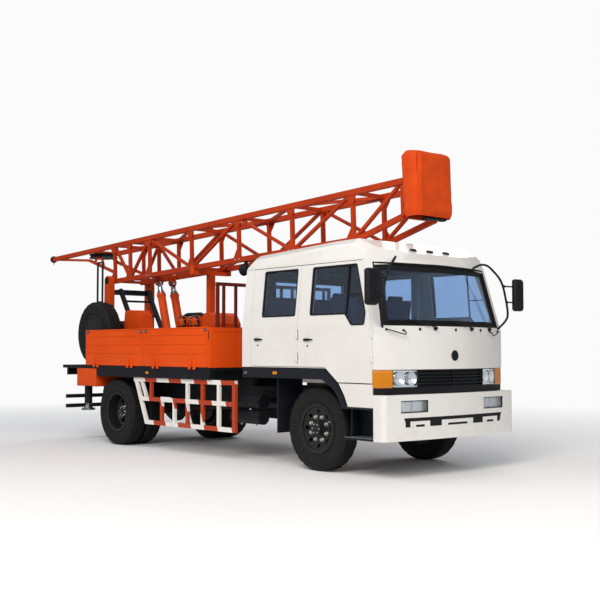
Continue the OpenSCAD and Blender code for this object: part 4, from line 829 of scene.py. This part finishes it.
# The roof's bowed front corners are closed by panels just inside their face
rings = []
for k in range(9):
    y = 760 + 250 * k / 8
    low, high = [(1046 - 0.3 * (z - 2552) - y * y / 6266, z) for z in (2506, 2566)]
    rings.append([(x - back, y, z) for (x, z), back in ((low, 6), (high, 6), (high, 1), (low, 1))])
piece("roof_corner_panels", both(loft(rings)), cab_white)


def marker_lamp(spot, way, half, wide, tall):
    """Small lamp: rubber foot, then a crowned lens on it. Returns the two shapes."""
    way = Vector(way).normalized()
    along = Vector((0, 0, 1)).cross(way).normalized() if abs(way.z) < 0.95 else Vector((0, 1, 0))
    up = way.cross(along)

    def ring(size, lift):
        loop = rounded_loop([(-half, -wide), (half, -wide), (half, wide), (-half, wide)], wide * 0.6)
        return [tuple(Vector(spot) + along * (a * size) + up * (b * size) + way * lift) for a, b in loop]

    foot = loft([ring(1.12, -4), ring(1.12, 4), ring(1.06, 7)])
    lens_shape = loft([ring(1.0, 5), ring(1.0, tall * 0.5), ring(0.9, tall * 0.85), ring(0.6, tall)])
    return foot, lens_shape


roof_way = (0.41, 0, 0.91)
feet, caps = zip(*[marker_lamp((908, y, 2641), roof_way, 46, 24, 26) for y in (-300, 0, 300)])
piece("roof_marker_feet", joined(*feet), rubber_black)
piece("roof_marker_lenses", joined(*caps), smoke_lens)
for feet, caps, spot, half, wide, tall, finish in (
        ("wing_marker_feet", "wing_marker_lenses", (-624, 1166, 1170), 42, 20, 16, amber_lens),
        ("cab_rear_reflector_feet", "cab_rear_reflectors", (-1215, 1166, 1165), 36, 18, 14, clear_lens),
        ("deck_marker_feet", "deck_marker_lenses", (-3530, 1180, 1125), 40, 19, 12, amber_lens)):
    foot, cap = marker_lamp(spot, (0, 1, 0), half, wide, tall)
    piece(feet, both(foot), rubber_black)
    piece(caps, both(cap), finish)
for word, side in SIDES:
    feet, caps = zip(*[marker_lamp((-6116, side * y, 1140), (-1, 0, 0), 52, 44, 24) for y in (760, 642, 524)])
    piece(f"{word}_tail_lamp_feet", joined(*feet), rubber_black)
    piece(f"{word}_tail_lamps", joined(caps[0], caps[2]), red_lens)
    piece(f"{word}_turn_lamp", caps[1], amber_lens)


# Mirrors: bent tubes carry domed heads, each with silvered glass in a rolled bezel on its rear face

def eased(path, r, steps=6):
    """The same path with its corners bent to about that radius."""
    spots = [Vector(p) for p in path]
    out = [spots[0]]
    for a, b, c in zip(spots, spots[1:], spots[2:]):
        into = b + (a - b).normalized() * min(r, (a - b).length * 0.45)
        away = b + (c - b).normalized() * min(r, (c - b).length * 0.45)
        out += [into.lerp(b, k / steps).lerp(b.lerp(away, k / steps), k / steps) for k in range(steps + 1)]
    return out + [spots[-1]]


def upright_loop(y0, y1, z0, z1, r):
    """Rounded outline in Y and Z."""
    return rounded_loop([(y0, z0), (y1, z0), (y1, z1), (y0, z1)], r)


arm = tube(eased([(900, 700, 2435), (1120, 800, 2560), (1190, 1060, 2330), (1205, 1150, 1970), (1195, 1160, 1840),
                  (1080, 1000, 1660)], 130), 14, 12)
stays = [tube([(1201, y, z), (1235, 1320, z)], 10, 10) for y, z in ((1128, 2060), (1078, 2260))]
arms = piece("mirror_arms", joined(both(arm), both(*stays)), trim_black)
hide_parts("mirrors")
head = loft([[(x, a, b) for a, b in upright_loop(1240 + i, 1430 - i, 1950 + i, 2360 - i, 44 - i / 3)]
             for x, i in ((1205, 5), (1210, 0), (1238, 0), (1250, 6), (1259, 18), (1264, 38), (1265, 66))])
piece("mirror_heads", both(head), trim_black, smooth=50)
for word, side in SIDES:
    y = side * 1335
    loop = upright_loop(y - 84, y + 84, 1962, 2348, 20)
    piece(f"{word}_mirror_glass", loft([[(x, a, b) for a, b in loop] for x in (1207, 1203.6)]), mirror_face)
    piece(f"{word}_mirror_bezel", tube([(1206, a, b) for a, b in loop], 6, closed=True), trim_black)
    clamps = [lathe([(17, -16), (17, 16)], (x, side * y, z), (0, 0, 1), 16)
              for x, y, z in ((1202, 1133, 2060), (1196, 1085, 2260))]
    piece(f"{word}_mirror_clamps", joined(*clamps), trim_black, bevel=2)


# Deck, mast and machinery

PIVOT_X, PIVOT_Z, SLOPE = -5955.0, 2638.0, math.radians(2.15)
STATIONS = (0, 490, 1090, 2280, 3470, 4660, 5850)
MAST_HALF, MAST_DEPTH, MAST_END = 287.0, 615.0, 6720.0
LIFT_Y = 130


def on_mast(u, y, w):
    """Point given along the mast from its pivot, across it, and square to it."""
    c, s = math.cos(SLOPE), math.sin(SLOPE)
    return PIVOT_X + u * c - w * s, y, PIVOT_Z + u * s + w * c


def mast_shape(shape):
    """A shape drawn in the mast's own lengths, put in its place."""
    return [on_mast(*p) for p in shape[0]], shape[1]


def gusset(u, foot, way):
    """Welded plate in the corner between a chord and an upright."""
    return ribbon([(u - 105, foot), (u + 105, foot), (u + 24, foot + way * 118), (u - 24, foot + way * 118)],
                  MAST_HALF + 25, MAST_HALF + 31)


plates = [gusset(u, foot, way) for foot, way in ((36, 1), (MAST_DEPTH - 36, -1)) for u in STATIONS]
piece("mast_gussets", both(mast_shape(joined(*plates))), mast_red, "mast", bevel=1.5)
# Feet of the lower cross bars, where they are bolted so that the mast can be taken apart
bolts = [hex_bolt((u + shift, MAST_HALF + 37, 0), (0, 1, 0), 24, 16) for u in STATIONS[2:6] for shift in (-46, 46)]
piece("mast_bolts", both(mast_shape(joined(*bolts))), zinc_nut, "mast")
neck = [on_mast(u, -150, w) for u, w in ((-620, 330), (-650, 420), (-700, 478), (-770, 505), (-842, 500), (-900, 462),
                                         (-925, 400))]
piece("sheave_gooseneck", tube(neck, 22, 14), rig_orange, "mast")
bar = mast_shape(block((MAST_END + 150, -130, 138), (MAST_END + 222, 240, 168)))
piece("crown_bar", bar, frame_black, "mast", bevel=4)
heads = [lathe([(34, 0), (34, 7), (28, 11)], (1120, LIFT_Y + s * 44, -120), (0, s, 0), 24) for s in (-1, 1)]
piece("lift_eye_pins", both(mast_shape(joined(*heads))), ground_steel, "mast")
cap = lathe([(58, 0), (58, 10), (50, 14)], (PIVOT_X, 452, PIVOT_Z), (0, 1, 0), 32)
bolts = bolt_ring((PIVOT_X, 466, PIVOT_Z), 1, 40, 13, 9, (0.5, 2.6, 4.7))
piece("pivot_caps", both(cap, bolts), frame_black, bevel=1)
keeps = [lathe([(36, 0), (36, 8), (30, 11)], (PIVOT_X + 1490, LIFT_Y + s * 50, 1355), (0, s, 0), 24) for s in (1, -1)]
piece("lift_foot_pins", both(*keeps), ground_steel)

# Drop sides: folded top edge, end latches with a lever, and the headboard's black latch slot
BOARD_LOW, BOARD_RIM, LATCH_Z = 1226, 1757, 1733
for end, x0, x1 in (("rear", -5350, -3654), ("front", -3646, -2029)):
    board = f"{end}_board"
    edging = joined(block((x0 + 2, 1172, BOARD_RIM), (x1 - 2, 1186, 1774)),
                    *[block((x, 1176, BOARD_LOW), (x + 44, 1184, BOARD_RIM)) for x in (x0 + 2, x1 - 46)])
    on_both(edging, f"{end}_board_edging", board_orange, board, bevel=2)
    latches, levers = [], []
    for x, s in ((x0 + 60, 1), (x1 - 60, -1)):
        latches.append(block((x - 34, 1178, 1716), (x + 34, 1188, 1750)))
        levers += [tube([(x - s * 20, 1192, LATCH_Z), (x + s * 8, 1198, LATCH_Z), (x + s * 62, 1196, 1727)], 6),
                   lathe([(12, 0), (12, 12), (8, 15)], (x - s * 20, 1186, LATCH_Z), (0, 1, 0), 16)]
    on_both(joined(*latches), f"{end}_latch_plates", frame_black, board, bevel=2)
    on_both(joined(*levers), f"{end}_latch_levers", zinc_nut, board)
piece("headboard_latch_slots", both(block((-2024, 1177, 1600), (-2010, 1183, 1716))), trim_black, bevel=1)
strips = [block((-1984, y - 4, 1246), (-1977, y + 4, 1700)) for y in (-760, -380, 0, 380, 760)]
piece("headboard_seams", joined(*strips), board_orange, bevel=1.5)

# Winch: bearing covers, lever grip and the housing's louvres
WINCH_X, WINCH_Z = -5270, 1785
covers = [lathe([(96, 0), (96, 10), (62, 16), (62, 34), (44, 40)], (WINCH_X, y, WINCH_Z), (0, s, 0), 40)
          for y, s in ((-769, -1), (-361, 1))]
bolts = bolt_ring((WINCH_X, -779, WINCH_Z), -1, 80, 15, 10, around(6))
piece("winch_bearing_covers", joined(*covers, bolts), rig_orange, bevel=1)
grip = tube([(-5222, -780, 2100), (-5233, -780, 2168), (-5237, -780, 2192)], 21, 14)
piece("winch_lever_grip", grip, rubber_black)
louvres = [block((x0, y0, z), (x1, y1, z + 14)) for x0, x1, y0, y1 in ((-4516, -4509, -700, -425),
                                                                       (-4960, -4600, -712, -705))
           for z in range(1330, 1620, 46)]
piece("winch_housing_louvres", joined(*louvres), trim_black, bevel=1.5)

# Pump: flanged cylinder heads with studs, and the manifold over them
PUMP_Z = 1870
flanges, domes, studs = [], [], []
for x in (-3400, -3060):
    flanges.append(lathe([(40, 0), (106, 0), (106, 16), (70, 16)], (x, -662, PUMP_Z), (0, -1, 0), 40))
    domes.append(lathe([(70, 0), (66, 16), (50, 26), (20, 31)], (x, -676, PUMP_Z), (0, -1, 0), 40))
    studs.append(bolt_ring((x, -678, PUMP_Z), -1, 88, 17, 15, around(8, 0.5)))
piece("pump_flanges", joined(*flanges), frame_black, bevel=1.5)
piece("pump_head_caps", joined(*domes), rig_orange)
piece("pump_studs", joined(*studs), zinc_nut)
manifold = tube([(x, -560, z) for x, z in ((-3470, 1965), (-3400, 1985), (-3060, 1985), (-2990, 1960), (-2975, 1900))],
                30, 14)
piece("pump_manifold", manifold, frame_black)

# Steps and tanks
treads = [block((574, 1143, 800), (1078, 1164, 806)), block((612, 1143, 454), (1078, 1164, 460))]
treads += [block((x, 915 + 40 * k, z), (1070, 927 + 40 * k, z + 4)) for x, z in ((600, 800), (630, 454))
           for k in range(5)]
piece("step_treads", both(*treads), tank_grey, bevel=1.5)
filler = lathe([(46, 0), (46, 22), (40, 26), (40, 40), (30, 44)], (-2700, 735, 898), (0, 0, 1), 28)
piece("fuel_filler_cap", filler, trim_black, bevel=1)
drains = [lathe([(14, 0), (14, 10), (8, 22)], (x, -770, 466), (0, 0, -1), 12) for x in (-1800, -1480)]
piece("air_tank_drains", joined(*drains), zinc_nut)


# Inside the cab

CARD_Y, FLOOR_Z, SEAT_Z = 1104, 1247.3, 1424


def door_card(outline, x, z):
    """Trim panel on the inside of a door, with an armrest and a winder."""
    rest = loft([[(x + t * 330, CARD_Y, z - 26), (x + t * 330, CARD_Y - reach, z - 18),
                  (x + t * 330, CARD_Y - reach, z + 14), (x + t * 330, CARD_Y, z + 26)]
                 for t, reach in ((0, 18), (0.1, 44), (0.5, 50), (0.9, 44), (1, 18))])
    knob = lathe([(24, 0), (24, 8), (14, 14), (14, 30)], (x + 400, 1103, z + 40), (0, -1, 0), 20)
    return joined(ribbon(outline, 1103, 1109.6), rest, knob)


def flat_ring(x0, x1, half, z, y=0):
    """Level rectangle, as one ring of a box with sloped walls."""
    return [(x0, y - half, z), (x1, y - half, z), (x1, y + half, z), (x0, y + half, z)]


def across_ring(x, half, z0, z1):
    """Rectangle across the cab, as one ring of a board that runs along it."""
    return [(x, -half, z0), (x, half, z0), (x, half, z1), (x, -half, z1)]


front_card = [(-172, 1290), (290, 1290), (515, 1118), (1010, 1118), (1010, 1690), (700, 1712), (604, 1745),
              (-172, 1745)]
rear_card = [(-1085, 1285), (-262, 1285), (-262, 1745), (-1085, 1745)]
# Door cards, rear wall lining, headliner and dash pad take the near-black trim colour as painted shade for the cab's
# unlit inside
for end, outline, x in (("front", front_card, 150), ("rear", rear_card, -920)):
    on_both(door_card(outline, x, 1560), f"{end}_door_card", dark_trim_and_interior_shade, f"{end}_door", bevel=3)
lining = [block((-1249, y0, z0), (-1241, y1, z1)) for y0, y1, z0, z1 in (
    (-1040, 1040, 1262, 1850), (-1010, 1010, 2368, 2490), (-1030, -632, 1850, 2368), (632, 1030, 1850, 2368))]
piece("rear_wall_lining", joined(*lining), dark_trim_and_interior_shade, bevel=2)
liner = loft([across_ring(x, half, 2497, 2503) for x, half in ((-1240, 1000), (560, 1000), (690, 900), (780, 700))])
piece("headliner", liner, dark_trim_and_interior_shade)
mats = [block((-1046, -434, 1250), (466, 434, 1404)), block((466, -434, 1084), (474, 434, 1404)),
        block((-1240, -1085, 1247.4), (262, 1085, 1252)), block((512, -1080, 1074.4), (1040, 1080, 1080))]
piece("floor_mats", joined(*mats), rubber_black, bevel=3)
hood = loft([across_ring(x, 1040, z, z - 12) for x, z in ((832, 1602), (880, 1648), (960, 1693), (1080, 1694))])
piece("dash_top_pad", hood, dark_trim_and_interior_shade, bevel=3)
binnacle = loft([[(850 + 90 * t, 480 + 210 * math.cos(a) * (1 - 0.1 * t), 1690 + 62 * math.sin(a) * (1 - 0.2 * t))
                  for a in (math.pi * k / 12 for k in range(13))] for t in (0, 0.5, 1)])
piece("instrument_hood", binnacle, trim_black)


# Seats

def pad(name, size, spot, lean, corner=34, crown=16, pinch=8, channels=()):
    """Foam pad in sewn cloth: crowned on top, drawn in between its corners and along its channels, with a piped
    edge. size is its length, width and thickness, spot the middle of its underside."""
    half = [s / 2 for s in size]

    def settle(p):
        core = [max(-(h - corner), min(h - corner, c)) for h, c in zip(half, p)]
        out = Vector(p) - Vector(core)
        x, y, z = Vector(core) + out.normalized() * min(corner, out.length) if out.length > 0.01 else Vector(core)
        u, v = x / half[0], y / half[1]
        if z > 0:
            z += crown * (1 - u * u) * (1 - v * v) - crown
            z -= sum(9 * math.exp(-((x - c) / 13) ** 2) * (1 - v ** 8) for c in channels)
        x -= pinch * u * (1 - v * v)
        y -= pinch * v * (1 - u * u)
        turned = Matrix.Rotation(lean, 3, "Y") @ Vector((x, y, z + half[2]))
        return tuple(turned + Vector(spot))

    points, faces, index = [], [], {}

    def corner_of(p):
        key = tuple(round(c, 3) for c in p)
        if key not in index:
            index[key] = len(points)
            points.append(settle(p))
        return index[key]

    counts = [max(6, round(s / 22)) for s in size]
    for axis in range(3):
        a, b = [k for k in range(3) if k != axis]
        for end in (-1, 1):
            for i in range(counts[a]):
                for j in range(counts[b]):
                    quad = []
                    for di, dj in ((0, 0), (1, 0), (1, 1), (0, 1)):
                        p = [0.0, 0.0, 0.0]
                        p[axis] = end * half[axis]
                        p[a] = half[a] * (2 * (i + di) / counts[a] - 1)
                        p[b] = half[b] * (2 * (j + dj) / counts[b] - 1)
                        quad.append(corner_of(p))
                    faces.append(quad)
    o = piece(name, (points, faces), seat_navy, smooth=180, rounder=True)
    rim = rounded_loop([(-half[0] + 8, -half[1] + 8), (half[0] - 8, -half[1] + 8), (half[0] - 8, half[1] - 8),
                        (-half[0] + 8, half[1] - 8)], corner * 0.8)
    edge = [settle((x, y, half[2] - 6)) for x, y in filled(rim, True, 40)]
    piece(name + "_piping", tube(edge, 3.5, 6, True), trim_black)
    return o


BACK, SEAT_Y = math.radians(-83), 500
for word, side in SIDES:
    y = side * SEAT_Y
    pad(f"{word}_seat_cushion", (455, 470, 122), (160, y, SEAT_Z), 0.03, channels=(-70, 60))
    pad(f"{word}_seat_back", (560, 450, 104), (-52, y, 1835), BACK, 40, 14, 14, channels=(-150, -40, 70))
    pad(f"{word}_headrest", (120, 260, 78), (-98, y, 2106), BACK, 34, 8, 4)
    posts = [tube([(-70, y + shift, 2090), (-74, y + shift, 2125)], 7) for shift in (-60, 60)]
    base = loft([flat_ring(*ring, y) for ring in ((-70, 280, 195, FLOOR_Z), (-66, 276, 190, 1330),
                                                  (-80, 350, 222, 1400), (-80, 352, 226, 1426))])
    piece(f"{word}_seat_base", joined(base, *posts), trim_black, bevel=6)
bench = pad("bench_cushion", (450, 1900, 122), (-890, 0, SEAT_Z), 0.03, 40, 18, 6, channels=(-80, 60))
pad("bench_back", (600, 1900, 84), (-1122, 0, 1850), BACK, 36, 14, 6, channels=(-150, 0, 150))
box = loft([flat_ring(-1180, -730, 890, 1404), flat_ring(-1180, -700, 930, 1426)])
legs = [block((-1180, y, FLOOR_Z), (-760, y + 40, 1405)) for y in (-900, -480, 440, 860)]
piece("bench_base", joined(box, *legs), trim_black, bevel=4)
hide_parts("seats")


# Canvas cover on the mast's crown

COVER_U, COVER_HALF, COVER_DEEP, COVER_LOW, COVER_TOP = 6857.8, 348.0, 142.0, 172.0, 988.0
COVER_ROUND, COVER_STEPS, COVER_TUCK = 88, 132, 22


def cover_ring(w, inset, corner, count):
    """Closed outline of the cover across the mast at one height, in equal steps and the mast's own lengths."""
    a, b = COVER_DEEP - inset, COVER_HALF - inset
    loop = filled(rounded_loop([(-a, -b), (a, -b), (a, b), (-a, b)], min(corner, a - 2), 6), True, 22)
    loop = [Vector((COVER_U + u, y, w)) for u, y in loop]
    runs = [(loop[(i + 1) % len(loop)] - loop[i]).length for i in range(len(loop))]
    total, out, i, used = sum(runs), [], 0, 0.0
    for k in range(count):
        want = total * k / count
        while used + runs[i] < want:
            used += runs[i]
            i += 1
        out.append(tuple(loop[i].lerp(loop[(i + 1) % len(loop)], (want - used) / runs[i])))
    return out


def bag():
    """Cut of the cover: a straight sleeve with a rounded, closed top and an open foot."""
    tuck = {0: COVER_TUCK, 1: 14, 2: 9, 3: 5, 4: 3}
    rings = [cover_ring(COVER_LOW + 20 * k, tuck.get(k, 2), COVER_ROUND, COVER_STEPS) for k in range(38)]
    top = COVER_LOW + 20 * 37
    for rise, inset in ((16, 6), (32, 14), (44, 26), (51, 42), (54, 60), (54, 80), (54, 98), (54, 116), (54, 132)):
        rings.append(cover_ring(top + rise, inset, max(10, COVER_ROUND - inset * 0.8), COVER_STEPS))
    points, faces = loft(rings, caps=False)
    return points, faces + [list(range(len(points) - COVER_STEPS, len(points)))]


def draped(o, hem, inner, frames):
    """Cloth on its stand-in body: the hem stays pinned, the rest settles."""
    stand = plain_object("inside", inner)
    stand.modifiers.new("collision", "COLLISION")
    stand.collision.thickness_outer = 0.004
    stand.collision.thickness_inner = 0.02
    pins = o.vertex_groups.new(name="hem")
    pins.add(hem, 1.0, "REPLACE")
    cloth = o.modifiers.new("cloth", "CLOTH")
    cloth.settings.quality = 6
    cloth.settings.mass = 0.5
    cloth.settings.tension_stiffness = cloth.settings.compression_stiffness = 25
    cloth.settings.shear_stiffness = 8
    cloth.settings.bending_stiffness = 12
    cloth.settings.vertex_group_mass = "hem"
    cloth.collision_settings.distance_min = 0.004
    cloth.collision_settings.use_self_collision = False
    scene = bpy.context.scene
    for f in range(1, frames + 1):
        scene.frame_set(f)
    settled = o.evaluated_get(bpy.context.evaluated_depsgraph_get())
    spots = [v.co.copy() for v in settled.data.vertices]
    o.modifiers.remove(cloth)
    scene.frame_set(1)
    bpy.data.objects.remove(stand)
    return spots


cover = piece("crown_cover_canvas", mast_shape(bag()), cover_canvas, "mast", smooth=180)
core = loft([cover_ring(w, inset, 76, 48) for w, inset in (
    (196, 60), (230, 40), (280, 22), (560, 14), (880, 12), (930, 20), (950, 36), (959, 60))])
spots = draped(cover, range(2 * COVER_STEPS), mast_shape(core), 18)
# The wrap opens in a slit beside the near front corner, and its edge runs on down as a crease
for v, spot in zip(cover.data.vertices, spots):
    x, y, z = (spot.x - AXLE) * 1000, spot.y * 1000, spot.z * 1000
    du, dw = x - PIVOT_X, z - PIVOT_Z
    u, w = du * math.cos(SLOPE) + dw * math.sin(SLOPE), dw * math.cos(SLOPE) - du * math.sin(SLOPE)
    run = (w - 690) / 240
    if u > COVER_U + 60:
        mouth = 52 * math.sin(math.pi * run) if 0 < run < 1 else 0.0
        line = 56 - COVER_HALF + 10 * (w - 560) / 400
        u -= (mouth + 9) * math.exp(-((y - line) / 13) ** 2)
    u = max(COVER_U - COVER_DEEP, min(COVER_U + COVER_DEEP, u))
    y = max(-COVER_HALF, min(COVER_HALF, y))
    v.co = in_frame(*on_mast(u, y, min(w, COVER_TOP)))
subdivided(cover)
edge = tube(cover_ring(COVER_LOW + 1, COVER_TUCK, COVER_ROUND, 60), 5, closed=True)
hem = piece("crown_cover_hem", mast_shape(edge), cover_canvas, "mast")
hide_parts("crown_cover")
